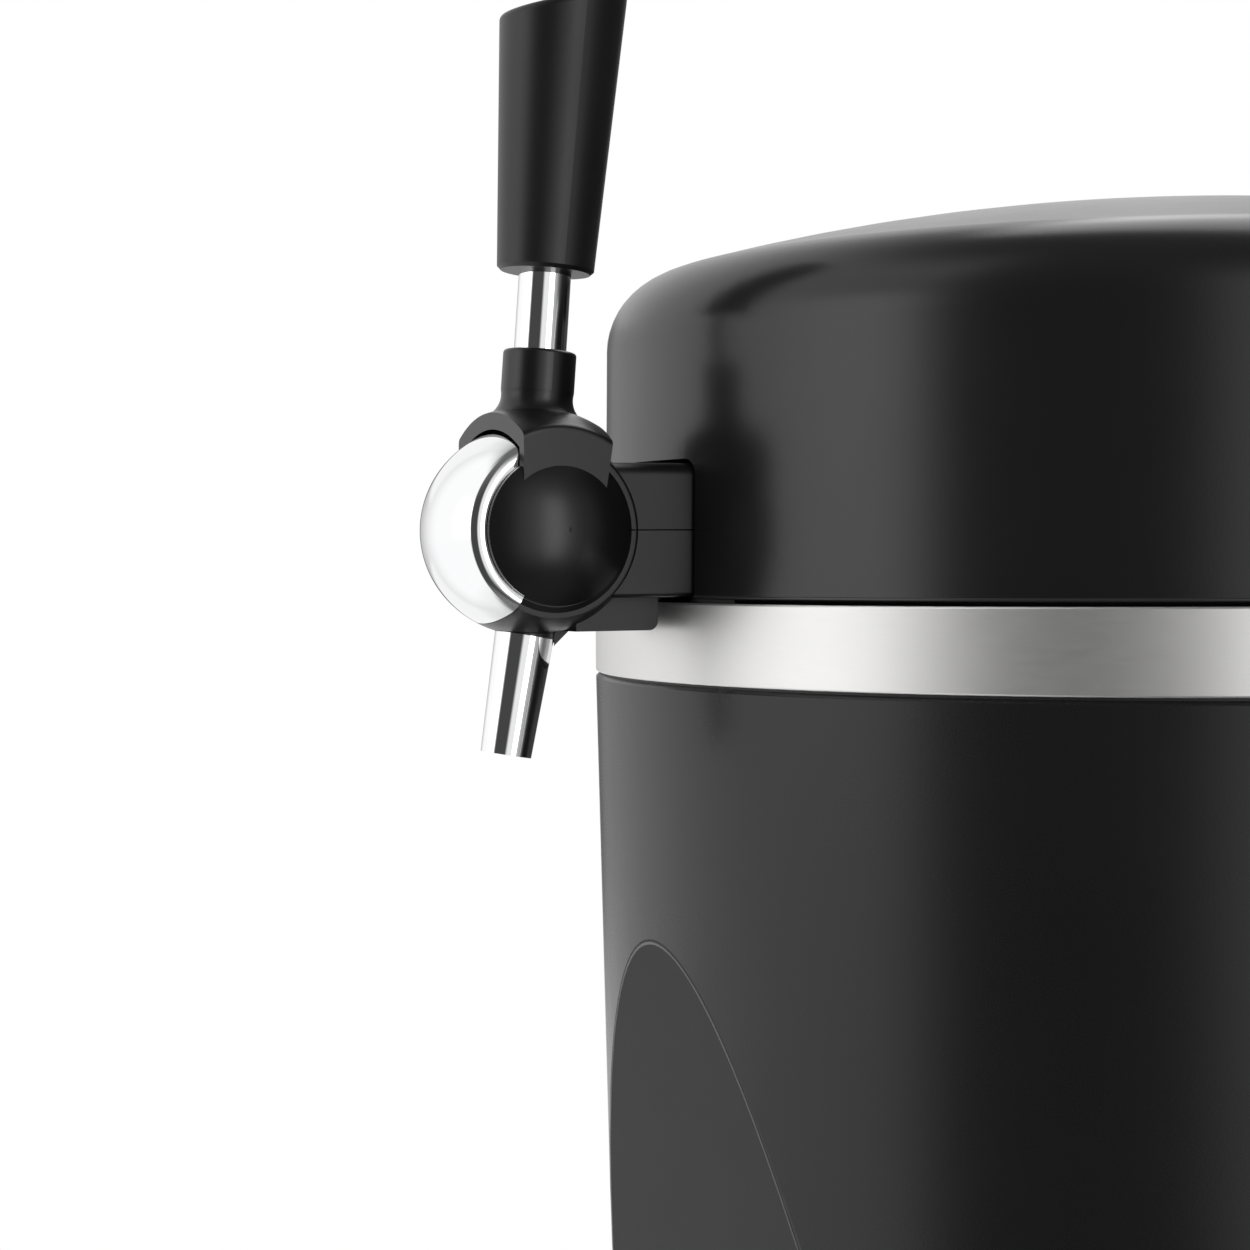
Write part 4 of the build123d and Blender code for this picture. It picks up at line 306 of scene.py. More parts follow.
def laid_over(under, mask, over):
    """One light over another where a mask is 1."""
    return under * (1 - mask) + mask * over


class DispenserFinishes(bpy.types.PropertyGroup):
    """Colours and surface values that a user may change."""

    cabinet_colour: FloatVectorProperty(
        name="Cabinet colour", description="Colour of the grained cabinet and lid", subtype="COLOR",
        default=(0.0105, 0.0105, 0.0108), min=0.0, max=1.0,
    )
    tap_colour: FloatVectorProperty(
        name="Tap colour", description="Colour of the satin tap and handle", subtype="COLOR",
        default=(0.0065, 0.0065, 0.0068), min=0.0, max=1.0,
    )
    # Painted highlight: a colour far paler than the cabinet's, given to the rounded edge beads so that they show
    # brighter, as if they caught the light
    edge_highlight_colour: FloatVectorProperty(
        name="Edge colour", description="Colour of the arched edge of the slanted face", subtype="COLOR",
        default=(0.08, 0.08, 0.08), min=0.0, max=1.0,
    )
    base_colour: FloatVectorProperty(
        name="Base colour", description="Colour of the base, tray and rear panel", subtype="COLOR",
        default=(0.016, 0.016, 0.0165), min=0.0, max=1.0,
    )
    inner_colour: FloatVectorProperty(
        name="Inner colour", description="Colour of the lid's liner and the deck", subtype="COLOR",
        default=(0.2, 0.2, 0.21), min=0.0, max=1.0,
    )
    grain: FloatProperty(
        name="Grain", description="Size of the grain of the moulded skin", unit="LENGTH",
        default=0.38 * MM, min=0.05 * MM, max=3 * MM, precision=5,
    )
    grain_depth: FloatProperty(
        name="Grain depth", description="Depth of the grain of the moulded skin", unit="LENGTH",
        default=0.016 * MM, min=0.0, max=MM, precision=6,
    )
    face_dullness: FloatProperty(
        name="Face dullness", description="Extra roughness of the slanted front face", subtype="FACTOR",
        default=0.35, min=0.0, max=0.6,
    )
    chrome_roughness: FloatProperty(
        name="Chrome roughness", description="Roughness of the polished chrome", subtype="FACTOR",
        default=0.02, min=0.0, max=1.0,
    )
    band_roughness: FloatProperty(
        name="Band roughness", description="Roughness of the satin steel band", subtype="FACTOR",
        default=0.42, min=0.0, max=1.0,
    )


class DispenserHardware(bpy.types.PropertyGroup):
    """Sizes of the small parts that Blender makes."""

    recess_reach: FloatProperty(
        name="Recess reach", description="Length of each arm of a screw's cross recess",
        unit="LENGTH", default=1.7 * MM, precision=4,
    )
    recess_width: FloatProperty(
        name="Recess width", description="Width of a screw's cross recess", unit="LENGTH",
        default=0.62 * MM, precision=4,
    )
    recess_depth: FloatProperty(
        name="Recess depth", description="Depth of a screw's cross recess", unit="LENGTH",
        default=0.9 * MM, precision=4,
    )
    shank_radius: FloatProperty(
        name="Shank radius", description="Radius of the screws' shank", unit="LENGTH",
        default=1.5 * MM, precision=4,
    )
    thread_pitch: FloatProperty(
        name="Thread pitch", description="Pitch of the screws' thread", unit="LENGTH",
        default=1.1 * MM, precision=4,
    )
    turn_seed: IntProperty(
        name="Turn seed", description="Seed for the turn of each screw's recess", default=7,
    )
    grid_border: FloatProperty(
        name="Grid border", description="Plain edge round the grid's slots", unit="LENGTH",
        default=7.0 * MM, precision=4,
    )
    grid_rib: FloatProperty(
        name="Grid rib", description="Rib between the two fields of slots", unit="LENGTH",
        default=5.0 * MM, precision=4,
    )
    grid_slot: FloatProperty(
        name="Grid slot", description="Width of a slot in the grid", unit="LENGTH",
        default=4.0 * MM, precision=4,
    )
    grid_pitch: FloatProperty(
        name="Grid pitch", description="Distance from slot to slot", unit="LENGTH",
        default=8.0 * MM, precision=4,
    )
    grid_corner: FloatProperty(
        name="Grid corner", description="Radius of the grid's rear corners", unit="LENGTH",
        default=5.1 * MM, precision=4,
    )
    grid_soft: FloatProperty(
        name="Grid edge", description="Rounding of the pressed edges of the grid", unit="LENGTH",
        default=0.45 * MM, precision=5,
    )
    edge_radius: FloatProperty(
        name="Edge radius", description="Radius of the moulded edges of the cabinet and lid", unit="LENGTH",
        default=0.45 * MM, precision=5,
    )
    edge_sink: FloatProperty(
        name="Edge sink", description="How far the moulded edges lie under the sharp edge", unit="LENGTH",
        default=0.34 * MM, precision=5,
    )


class DispenserCover(bpy.types.PropertyGroup):
    """Sizes of the chrome cover that Blender makes."""

    drop: FloatProperty(
        name="Crown drop", description="Radius lost from the cover's middle to its sides", unit="LENGTH",
        default=4.0 * MM, precision=4,
    )
    edge: FloatProperty(
        name="Side edge", description="Rounding of the cover's side edges", unit="LENGTH",
        default=3.1 * MM, precision=4,
    )
    hole: FloatProperty(
        name="Side hole", description="Radius of the round opening in each side", unit="LENGTH",
        default=15.8 * MM, precision=4,
    )
    cavity: FloatProperty(
        name="Cavity", description="Radius inside the cover", unit="LENGTH", default=16.9 * MM, precision=4,
    )
    flange: FloatProperty(
        name="Flange", description="Thickness of the cover's side walls", unit="LENGTH",
        default=2.8 * MM, precision=4,
    )
    start: FloatProperty(
        name="Start", description="Where the cover starts, from straight up towards the front",
        subtype="ANGLE", default=math.radians(10.0),
    )
    end: FloatProperty(
        name="End", description="Where the cover ends, from straight up towards the front",
        subtype="ANGLE", default=math.radians(151.0),
    )


class DispenserStage(bpy.types.PropertyGroup):
    """Floor, lamps and camera."""

    floor_radius: FloatProperty(
        name="Floor radius", description="Radius of the pale floor", unit="LENGTH", default=0.48,
    )
    floor_colour: FloatVectorProperty(
        name="Floor colour", description="Colour of the floor", subtype="COLOR",
        default=(0.86, 0.86, 0.86), min=0.0, max=1.0,
    )
    front_power: FloatProperty(
        name="Front lamp", description="Power of the soft lamp before the tap", unit="POWER", default=1.3,
    )
    left_power: FloatProperty(
        name="Left lamp", description="Power of the wide lamp at the left", unit="POWER", default=1.9,
    )
    side_power: FloatProperty(
        name="Side lamp", description="Power of the soft lamp at the side", unit="POWER", default=1.8,
    )
    top_power: FloatProperty(
        name="Top lamp", description="Power of the soft lamp overhead", unit="POWER", default=4.0,
    )
    lens: FloatProperty(
        name="Lens", description="Focal length of the camera on a 36 mm sensor", default=74.36,
    )


def settings():
    return bpy.context.scene.dispenser


def dress(finish, *names):
    """Gives CAD nodes a finish."""
    for name in names:
        node = frame["nodes"][name]
        if not node.material_slots:
            node.data.materials.append(finish)
        for place in node.material_slots:
            place.material = finish


def slanted_face():
    """The slanted front face of the cabinet: its outward normal and its distance along it."""
    normal = Vector((0.0, -math.cos(FACE_LEAN), -math.sin(FACE_LEAN)))
    return normal, max(vert.co.dot(normal) for vert in frame["nodes"]["body_shell"].data.vertices)


def grained_plastic(name, colour, roughness, coarse=1.0, deep=1.0, dull_face=0.0, specular=0.5):
    """Moulded plastic with a fine spark-eroded grain, faint clouds of gloss, and a duller slanted face."""
    look = settings().finishes
    skin = Finish(name)
    fine = skin.noise(coarse * look.grain, detail=3.0, roughness=0.65)
    pits = skin.cells(2.2 * coarse * look.grain)
    clouds = skin.noise(60 * MM, detail=3.0)
    wipes = skin.noise(11 * MM)
    shade = skin.shades(mixed(fine, clouds, 0.4), colour, start=0.72, end=1.3)
    gloss = roughness - 0.05 + clouds * 0.06 + wipes * 0.03 + fine * 0.03
    if dull_face:
        normal, distance = slanted_face()
        gloss = gloss + (skin.y * normal.y + skin.z * normal.z > distance - 0.1 * MM) * dull_face
    bump = skin.relief(mixed(fine, pits, 0.3), deep * look.grain_depth, strength=0.7)
    return skin.done(shade, gloss, bump, specular=specular)


def satin_plastic(name, colour, roughness):
    """Satin black plastic with hair-fine rubbing marks and a very fine skin."""
    skin = Finish(name)
    clouds = skin.noise(20 * MM, detail=3.0)
    fine = skin.noise(0.22 * MM)
    stretched = skin.vector(skin.x * 30.0, skin.y * 8.0, skin.z * 30.0)
    rubbing = skin.noise(12 * MM, detail=3.0, roughness=0.6, vector=stretched)
    shade = skin.shades(mixed(clouds, fine, 0.3), colour, start=0.75, end=1.3)
    gloss = roughness + clouds * 0.06 + skin.fade(rubbing, low=0.55, high=0.75) * 0.05
    return skin.done(shade, gloss, skin.relief(fine, depth=0.006 * MM))


def polished_chrome(name, roughness):
    """Mirror chrome with faint polishing swirls and a breath of haze."""
    metal = Finish(name)
    haze = metal.noise(18 * MM, detail=3.0)
    swirl = metal.noise(0.4 * MM)
    shade = metal.tint(haze, (0.89, 0.895, 0.905), (0.95, 0.95, 0.955))
    gloss = roughness * 0.6 + haze * (roughness * 0.6) + swirl * (roughness * 0.3)
    return metal.done(shade, gloss, metal.relief(swirl, depth=0.0006 * MM, strength=0.4), metallic=1.0)


def ringed_steel(name, colour, roughness):
    """Satin steel rolled round the cabinet, with fine lines that follow the ring."""
    metal = Finish(name)
    angle, _ = metal.around(metal.x, metal.y - AXIS_Y)
    lines = metal.noise(0.16 * MM, roughness=0.6, vector=metal.vector(angle * 0.004, 0.0, metal.z))
    streaks = metal.noise(0.6 * MM, vector=metal.vector(angle * 0.012, 0.004, metal.z))
    clouds = metal.noise(30 * MM)
    shade = metal.shades(mixed(lines, clouds, 0.5), colour, start=0.92, end=1.06)
    gloss = roughness - 0.05 + lines * 0.06 + streaks * 0.05
    return metal.done(shade, gloss, metal.relief(lines, depth=0.004 * MM, strength=0.5), metallic=1.0)


def spun_aluminium(name):
    """Bright aluminium with the turned lines of a spun pot."""
    metal = Finish(name)
    angle, radius = metal.around(metal.x, metal.y - AXIS_Y)
    turned = metal.noise(0.35 * MM, roughness=0.6, vector=metal.vector(angle * 0.003, radius, metal.z))
    clouds = metal.noise(50 * MM, detail=3.0)
    shade = metal.tint(mixed(turned, clouds, 0.5), (0.60, 0.61, 0.62), (0.76, 0.77, 0.78))
    gloss = 0.24 + turned * 0.1 + clouds * 0.08
    return metal.done(shade, gloss, metal.relief(turned, depth=0.006 * MM), metallic=1.0)


def drawn_metal(name, dark, light, stretch, roughness):
    """Drawn, rolled or ground metal, with lines along the axis whose factor in stretch is the smallest."""
    metal = Finish(name)
    along = metal.vector(*(axis * factor for axis, factor in zip((metal.x, metal.y, metal.z), stretch)))
    lines = metal.noise(0.3 * MM, detail=3.0, roughness=0.6, vector=along)
    clouds = metal.noise(15 * MM, detail=3.0)
    shade = metal.tint(mixed(lines, clouds, 0.5), dark, light)
    gloss = roughness + lines * 0.1 + clouds * 0.06
    return metal.done(shade, gloss, metal.relief(lines, depth=0.005 * MM), metallic=1.0)


def plated_screw(name):
    """Zinc-plated steel with a cloudy passivated skin."""
    metal = Finish(name)
    clouds = metal.noise(0.9 * MM, detail=3.0, roughness=0.6)
    fine = metal.noise(0.12 * MM)
    shade = metal.tint(clouds, (0.36, 0.36, 0.37), (0.58, 0.58, 0.585))
    gloss = 0.24 + clouds * 0.16 + fine * 0.06
    return metal.done(shade, gloss, metal.relief(fine, depth=0.004 * MM), metallic=1.0)


def cell_foam(name, colour):
    """Rigid foam with burst cells and a skin of uneven colour."""
    foam = Finish(name)
    cells = foam.cells(1.5 * MM)
    small = foam.cells(0.6 * MM)
    clouds = foam.noise(30 * MM, detail=3.0)
    shade = foam.shades(mixed(cells, clouds, 0.4), colour, start=1.05, end=0.7)
    bump = foam.relief(mixed(cells, small, 0.3), depth=0.5 * MM, strength=0.8)
    return foam.done(shade, 0.82 + small * 0.1, bump)


def soft_rubber(name, colour):
    """Dull rubber with a bloom on its skin."""
    rubber = Finish(name)
    bloom = rubber.noise(6 * MM, detail=4.0, roughness=0.6)
    fine = rubber.noise(0.3 * MM)
    shade = rubber.shades(bloom, colour, start=0.8, end=1.9)
    return rubber.done(shade, 0.62 + bloom * 0.18, rubber.relief(fine, depth=0.03 * MM))


def pale_plastic(name, colour, roughness, transmission=0.0):
    """Milky moulded plastic with flow marks."""
    skin = Finish(name)
    stretched = skin.vector(skin.x, skin.y * 0.25, skin.z)
    flow = skin.noise(4 * MM, detail=3.0, roughness=0.6, vector=stretched)
    fine = skin.noise(0.25 * MM)
    shade = skin.shades(flow, colour, start=0.9, end=1.05)
    gloss = roughness + flow * 0.08 + fine * 0.04
    return skin.done(shade, gloss, skin.relief(fine, depth=0.008 * MM), transmission=transmission)


def fan_plastic(name):
    """Glass-filled black plastic with flow lines that run out from the hub."""
    skin = Finish(name)
    hub = (FAN_LOW + FAN_HIGH) / 2
    angle, radius = skin.around(skin.x - hub.x, skin.z - hub.z)
    outward = skin.vector(angle * 0.05, 0.0, radius * 0.2)
    flow = skin.noise(4 * MM, detail=3.0, roughness=0.6, vector=outward)
    fibre = skin.noise(0.25 * MM, detail=3.0, roughness=0.7)
    shade = skin.tint(mixed(flow, fibre, 0.5), (0.012, 0.012, 0.013), (0.026, 0.026, 0.027))
    return skin.done(shade, 0.36 + fibre * 0.12, skin.relief(fibre, depth=0.012 * MM))


def populated_board(name):
    """Green solder mask with tracks, and each block on it in its own colour."""
    board = Finish(name)
    middle = (BOARD_LOW + BOARD_HIGH) / 2
    fine = board.noise(0.5 * MM, detail=3.0)
    black, white = (0, 0, 0, 1), (1, 1, 1, 1)
    rows = {
        "Vector": board.place,
        "Scale": 1.0 / (5.2 * MM),
        "Mortar Size": 0.07,
        "Brick Width": 1.7,
        "Row Height": 0.55,
        "Color1": black,
        "Color2": black,
        "Mortar": white,
    }
    tracks = board.add("ShaderNodeTexBrick", rows, out="Fac", offset=0.37)
    mask = board.tint(tracks, (0.006, 0.085, 0.03), (0.03, 0.2, 0.075))
    wound = board.vector(board.x, board.y * 0.05, board.z * 0.05)
    winding = board.noise(0.5 * MM, detail=1.0, vector=wound)
    coil = board.tint(winding, (0.32, 0.11, 0.03), (0.62, 0.26, 0.09))
    can = board.tint(fine, (0.012, 0.014, 0.03), (0.03, 0.034, 0.06))
    block = board.tint(fine, (0.04, 0.15, 0.09), (0.06, 0.21, 0.13))
    above = board.z > BOARD_LOW.z + BOARD_THICKNESS + 0.05 * MM
    left = board.x < 0.0
    rear = board.y > middle.y + 2 * MM
    parts = board.tint(left, board.tint(rear, can, block), coil)
    shade = board.tint(above, mask, parts)
    height = tracks * (1 - above) + winding * left * above
    return board.done(shade, 0.3 + fine * 0.12, board.relief(height, depth=0.06 * MM))


def ceramic_plate(name):
    """White alumina with a faint speckle."""
    plate = Finish(name)
    speckle = plate.noise(0.3 * MM, detail=4.0, roughness=0.7)
    clouds = plate.noise(8 * MM)
    shade = plate.tint(mixed(speckle, clouds, 0.4), (0.74, 0.73, 0.7), (0.88, 0.87, 0.85))
    return plate.done(shade, 0.5 + speckle * 0.15, plate.relief(speckle, depth=0.01 * MM))


class DISPENSER_OT_cabinet(bpy.types.Operator):
    """Finishes the cabinet shell, the base and what is moulded with them"""

    bl_idname = "dispenser.cabinet"
    bl_label = "Cabinet and base"

    def execute(self, context):
        look = settings().finishes
        skin = grained_plastic(
            "grained_black_skin", look.cabinet_colour, roughness=0.27,
            dull_face=look.face_dullness, specular=0.42,
        )
        dress(skin, "body_shell")
        matte = grained_plastic("matte_black_skin", look.base_colour, roughness=0.5, coarse=1.4, deep=1.6)
        dress(matte, "base_pan", "rim_collar", "rear_panel", "hinge_bracket", "drip_tray")
        inner = pale_plastic("grey_inner_plastic", look.inner_colour, roughness=0.4)
        dress(inner, "base_deck")
        dress(soft_rubber("black_rubber", (0.016, 0.016, 0.016)), "rubber_feet", "cord_gland")
        return {"FINISHED"}


class DISPENSER_OT_band(bpy.types.Operator):
    """Finishes the steel band round the rim"""

    bl_idname = "dispenser.band"
    bl_label = "Steel band"

    def execute(self, context):
        roughness = settings().finishes.band_roughness
        dress(ringed_steel("satin_steel_band", (0.8, 0.795, 0.785), roughness), "steel_band")
        return {"FINISHED"}


class DISPENSER_OT_lid(bpy.types.Operator):
    """Finishes the lid, its liner, seal, foam and hinge leaf"""

    bl_idname = "dispenser.lid"
    bl_label = "Lid"

    def execute(self, context):
        look = settings().finishes
        skin = grained_plastic("grained_lid_skin", look.cabinet_colour, roughness=0.24)
        dress(skin, "lid_shell")
        dress(bpy.data.materials["matte_black_skin"], "lid_hinge_leaf")
        dress(bpy.data.materials["grey_inner_plastic"], "lid_liner")
        dress(soft_rubber("seal_rubber_skin", (0.022, 0.022, 0.023)), "lid_seal", "plug_seals")
        dress(cell_foam("rigid_foam", (0.78, 0.74, 0.62)), "lid_insulation", "insulation_jacket")
        return {"FINISHED"}


class DISPENSER_OT_chamber(bpy.types.Operator):
    """Finishes the keg chamber, the cooler behind it and the control board"""

    bl_idname = "dispenser.chamber"
    bl_label = "Chamber and cooler"

    def execute(self, context):
        dress(spun_aluminium("spun_aluminium_liner"), "keg_liner")
        extruded = drawn_metal(
            "extruded_aluminium", dark=(0.55, 0.56, 0.57), light=(0.72, 0.73, 0.74),
            stretch=(1.0, 1.0, 0.03), roughness=0.3,
        )
        dress(extruded, "cold_block", "heat_sink")
        dress(ceramic_plate("alumina_plate"), "peltier_module")
        dress(fan_plastic("fan_black_plastic"), "fan_frame", "fan_rotor")
        dress(populated_board("green_board"), "power_board")
        return {"FINISHED"}


class DISPENSER_OT_tap(bpy.types.Operator):
    """Finishes the tap, its valve and beer line, and the power switch"""

    bl_idname = "dispenser.tap"
    bl_label = "Tap"

    def execute(self, context):
        look = settings().finishes
        satin = satin_plastic("satin_black_plastic", look.tap_colour, roughness=0.28)
        dress(satin, "tap_upper_housing", "tap_lower_housing", "switch_bezel", "switch_rocker")
        chrome = polished_chrome("polished_chrome", look.chrome_roughness)
        dress(chrome, "tap_front_cover", "spout")
        acetal = pale_plastic("acetal_plastic", (0.78, 0.77, 0.73), roughness=0.34)
        dress(acetal, "valve_body", "valve_plug", "keg_line_spigot")
        hose = pale_plastic("milky_hose", (0.72, 0.72, 0.68), roughness=0.22, transmission=0.35)
        dress(hose, "beer_hose")
        return {"FINISHED"}


class DISPENSER_OT_lever(bpy.types.Operator):
    """Finishes the yoke, its caps, the chrome rod and the handle"""

    bl_idname = "dispenser.lever"
    bl_label = "Lever"

    def execute(self, context):
        dress(bpy.data.materials["satin_black_plastic"], "lever_yoke", "pivot_cap_right", "pivot_cap_left")
        handle = satin_plastic("satin_handle_plastic", settings().finishes.tap_colour, roughness=0.38)
        dress(handle, "lever_handle")
        dress(bpy.data.materials["polished_chrome"], "lever_rod")
        return {"FINISHED"}


def link(name, data):
    piece = bpy.data.objects.new(name, data)
    bpy.context.scene.collection.objects.link(piece)
    return piece


def made(name, work, finish):
    """Turns a working mesh into an object with one finish."""
    mesh = bpy.data.meshes.new(name)
    work.to_mesh(mesh)
    work.free()
    mesh.materials.append(finish)
    return link(name, mesh)


def welded(node):
    """A working copy of a CAD node's mesh with its split corners joined again."""
    work = bmesh.new()
    work.from_mesh(frame["nodes"][node].data)
    bmesh.ops.remove_doubles(work, verts=work.verts, dist=WELD)
    work.normal_update()
    return work


def skinned(work, rings):
    """Joins each ring of corners to the next with quads."""
    for a, b in zip(rings, rings[1:]):
        for i in range(len(a)):
            work.faces.new((a[i - 1], a[i], b[i], b[i - 1]))


def solids(node):
    """The corner points of each separate solid of a CAD node."""
    work = welded(node)
    left = set(work.verts)
    found = []
    while left:
        edge = [left.pop()]
        group = []
        while edge:
            vert = edge.pop()
            group.append(vert.co.copy())
            for step in vert.link_edges:
                other = step.other_vert(vert)
                if other in left:
                    left.remove(other)
                    edge.append(other)
        found.append(group)
    work.free()
    return sorted(found, key=lambda group: tuple(round(c, 5) for c in sum(group, Vector()) / len(group)))


def screw_place(points, axis):
    """Seat, aim, head radius, head height and shank length of one screw."""
    index = "xyz".index(axis)
    middle = (Vector(map(min, zip(*points))) + Vector(map(max, zip(*points)))) / 2
    u, v = (i for i in range(3) if i != index)
    reach = [math.hypot(p[u] - middle[u], p[v] - middle[v]) for p in points]
    head_radius = max(reach)
    head = [p[index] for p, r in zip(points, reach) if r > HEAD_RIM * head_radius]
    low = min(p[index] for p in points)
    high = max(p[index] for p in points)
    up = max(head) - middle[index] > middle[index] - min(head)
    seat = middle.copy()
    seat[index] = min(head) if up else max(head)
    aim = Vector((0, 0, 0))
    aim[index] = 1.0 if up else -1.0
    height = high - seat[index] if up else seat[index] - low
    shank = seat[index] - low if up else high - seat[index]
    return seat, aim, head_radius, height, shank


def sized_tree(name, sizes):
    """An empty Geometry Nodes tree with named length inputs, and its input wires by name."""
    tree = bpy.data.node_groups.new(name, "GeometryNodeTree")
    tree.interface.new_socket("Geometry", in_out="INPUT", socket_type="NodeSocketGeometry")
    for size in sizes:
        tree.interface.new_socket(size, in_out="INPUT", socket_type="NodeSocketFloat")
    tree.interface.new_socket("Geometry", in_out="OUTPUT", socket_type="NodeSocketGeometry")
    nodes = Nodes(tree)
    inputs = nodes.add("NodeGroupInput").socket.node
    return nodes, {socket.name: Wire(nodes, socket) for socket in inputs.outputs if socket.name}


def close_tree(nodes, shape, finish, sharp=0.6):
    """Ends a tree: realised, smooth up to an angle, and with its material."""
    plain = nodes.add("GeometryNodeRealizeInstances", {0: shape})
    smooth = nodes.add("GeometryNodeSetShadeSmooth", {"Geometry": plain}, domain="FACE")
    angle = nodes.add("GeometryNodeInputMeshEdgeAngle")
    sockets = {"Geometry": smooth, "Selection": angle > sharp, "Shade Smooth": False}
    edged = nodes.add("GeometryNodeSetShadeSmooth", sockets, domain="EDGE")
    painted = nodes.add("GeometryNodeSetMaterial", {"Geometry": edged, "Material": finish})
    nodes.close("NodeGroupOutput", painted)


def baked(name, source, tree, sizes, finish):
    """Runs a tree on a source mesh and keeps the result as a plain mesh."""
    piece = link(name, source)
    modifier = piece.modifiers.new("shape", "NODES")
    modifier.node_group = tree
    for item in tree.interface.items_tree:
        if item.in_out == "INPUT" and item.name in sizes:
            modifier[item.identifier] = sizes[item.name]
    bpy.context.view_layer.update()
    graph = bpy.context.evaluated_depsgraph_get()
    mesh = bpy.data.meshes.new_from_object(piece.evaluated_get(graph))
    if not mesh.polygons:
        raise RuntimeError(f"{name} came out empty")
    piece.modifiers.remove(modifier)
    piece.data = mesh
    mesh.name = name
    bpy.data.meshes.remove(source)
    if not mesh.materials:
        mesh.materials.append(finish)
    return piece


SCREW_SIZES = (
    "Head Radius", "Head Height", "Shank Radius", "Shank Length", "Recess Reach", "Recess Width",
    "Recess Depth", "Thread Pitch",
)


def cross_head(nodes, size):
    """A domed screw head over its seat, with a cross recess in its top."""
    add = nodes.add
    ball = add("GeometryNodeMeshUVSphere", {"Segments": 40, "Rings": 24, "Radius": 1.0})
    x, y, z = nodes.split(add("GeometryNodeInputPosition"))
    rise = z.maths("MAXIMUM", z, 0.0) ** HEAD_DOME * size["Head Height"]
    spot = nodes.vector(x * size["Head Radius"], y * size["Head Radius"], rise)
    head = add("GeometryNodeSetPosition", {"Geometry": ball, "Position": spot})
    long, wide, tall = size["Recess Reach"] * 2.0, size["Recess Width"], size["Recess Depth"] * 2.0
    lift = nodes.vector(z=size["Head Height"])
    arms = []
    for sides in ((long, wide), (wide, long)):
        cube = add("GeometryNodeMeshCube", {"Size": nodes.vector(*sides, tall)})
        arms.append(add("GeometryNodeTransform", {"Geometry": cube, "Translation": lift}))
    return add("GeometryNodeMeshBoolean", {"Mesh 1": head, "Mesh 2": arms}, operation="DIFFERENCE")


def threaded_shank(nodes, size):
    """A shank under the head's seat, and the ridge of its thread."""
    add = nodes.add
    shank = size["Shank Length"]
    core = size["Shank Radius"] * THREAD_CORE
    shaft = add("GeometryNodeMeshCylinder", {"Vertices": 24, "Radius": core, "Depth": shank})
    drop = nodes.vector(z=shank * -0.5)
    shaft = add("GeometryNodeTransform", {"Geometry": shaft, "Translation": drop})
    threaded = shank * THREAD_LENGTH
    coil = {
        "Resolution": 20,
        "Rotations": threaded / size["Thread Pitch"],
        "Start Radius": core,
        "End Radius": core,
        "Height": threaded,
    }
    foot = nodes.vector(z=shank * (-(1 + THREAD_LENGTH) / 2))
    helix = add("GeometryNodeCurveSpiral", coil)
    helix = add("GeometryNodeTransform", {"Geometry": helix, "Translation": foot})
    section = {"Resolution": 4, "Radius": size["Shank Radius"] * THREAD_RIDGE}
    ridge = add("GeometryNodeCurvePrimitiveCircle", section)
    sockets = {"Curve": helix, "Profile Curve": ridge, "Fill Caps": True}
    return shaft, add("GeometryNodeCurveToMesh", sockets)


def screw_tree(finish):
    """Pan-head screws with a cross recess and a cut thread, one on each point."""
    nodes, size = sized_tree("cross_head_screws", SCREW_SIZES)
    add = nodes.add
    head = cross_head(nodes, size)
    shaft, thread = threaded_shank(nodes, size)
    screw = add("GeometryNodeJoinGeometry", {0: [head, shaft, thread]})
    aim = add("GeometryNodeInputNamedAttribute", {"Name": "aim"}, data_type="FLOAT_VECTOR")
    spin = add("GeometryNodeInputNamedAttribute", {"Name": "spin"}, data_type="FLOAT")
    turn = add("FunctionNodeAxisAngleToRotation", {"Axis": (0.0, 0.0, 1.0), "Angle": spin})
    facing = add("FunctionNodeAlignRotationToVector", {"Rotation": turn, "Vector": aim}, axis="Z")
    sockets = {"Points": size["Geometry"], "Instance": screw, "Rotation": facing}
    close_tree(nodes, add("GeometryNodeInstanceOnPoints", sockets), finish)
    return nodes.tree


def cover_section(kit, half, crown):
    """The cover's section as points across and out from the tap axis: crown, soft edge, flange, cavity."""
    bend = (half**2 + kit.drop**2) / (2 * kit.drop)
    centre = crown - bend
    inset = half - kit.edge
    soft_out = centre + math.sqrt((bend - kit.edge) ** 2 - inset**2)
    meet = math.asin(inset / (bend - kit.edge))
    right = []
    for step in range(1, CROWN_STEPS + 1):
        angle = meet * step / CROWN_STEPS
        right.append((bend * math.sin(angle), centre + bend * math.cos(angle)))
    for step in range(1, COVER_EDGE_STEPS + 1):
        angle = meet + (math.pi / 2 - meet) * step / COVER_EDGE_STEPS
        right.append((inset + kit.edge * math.sin(angle), soft_out + kit.edge * math.cos(angle)))
    right += [
        (half, kit.hole),
        (half - kit.flange, kit.hole),
        (half - kit.flange, kit.cavity),
    ]
    return [(0.0, crown)] + right + [(-x, out) for x, out in reversed(right)]


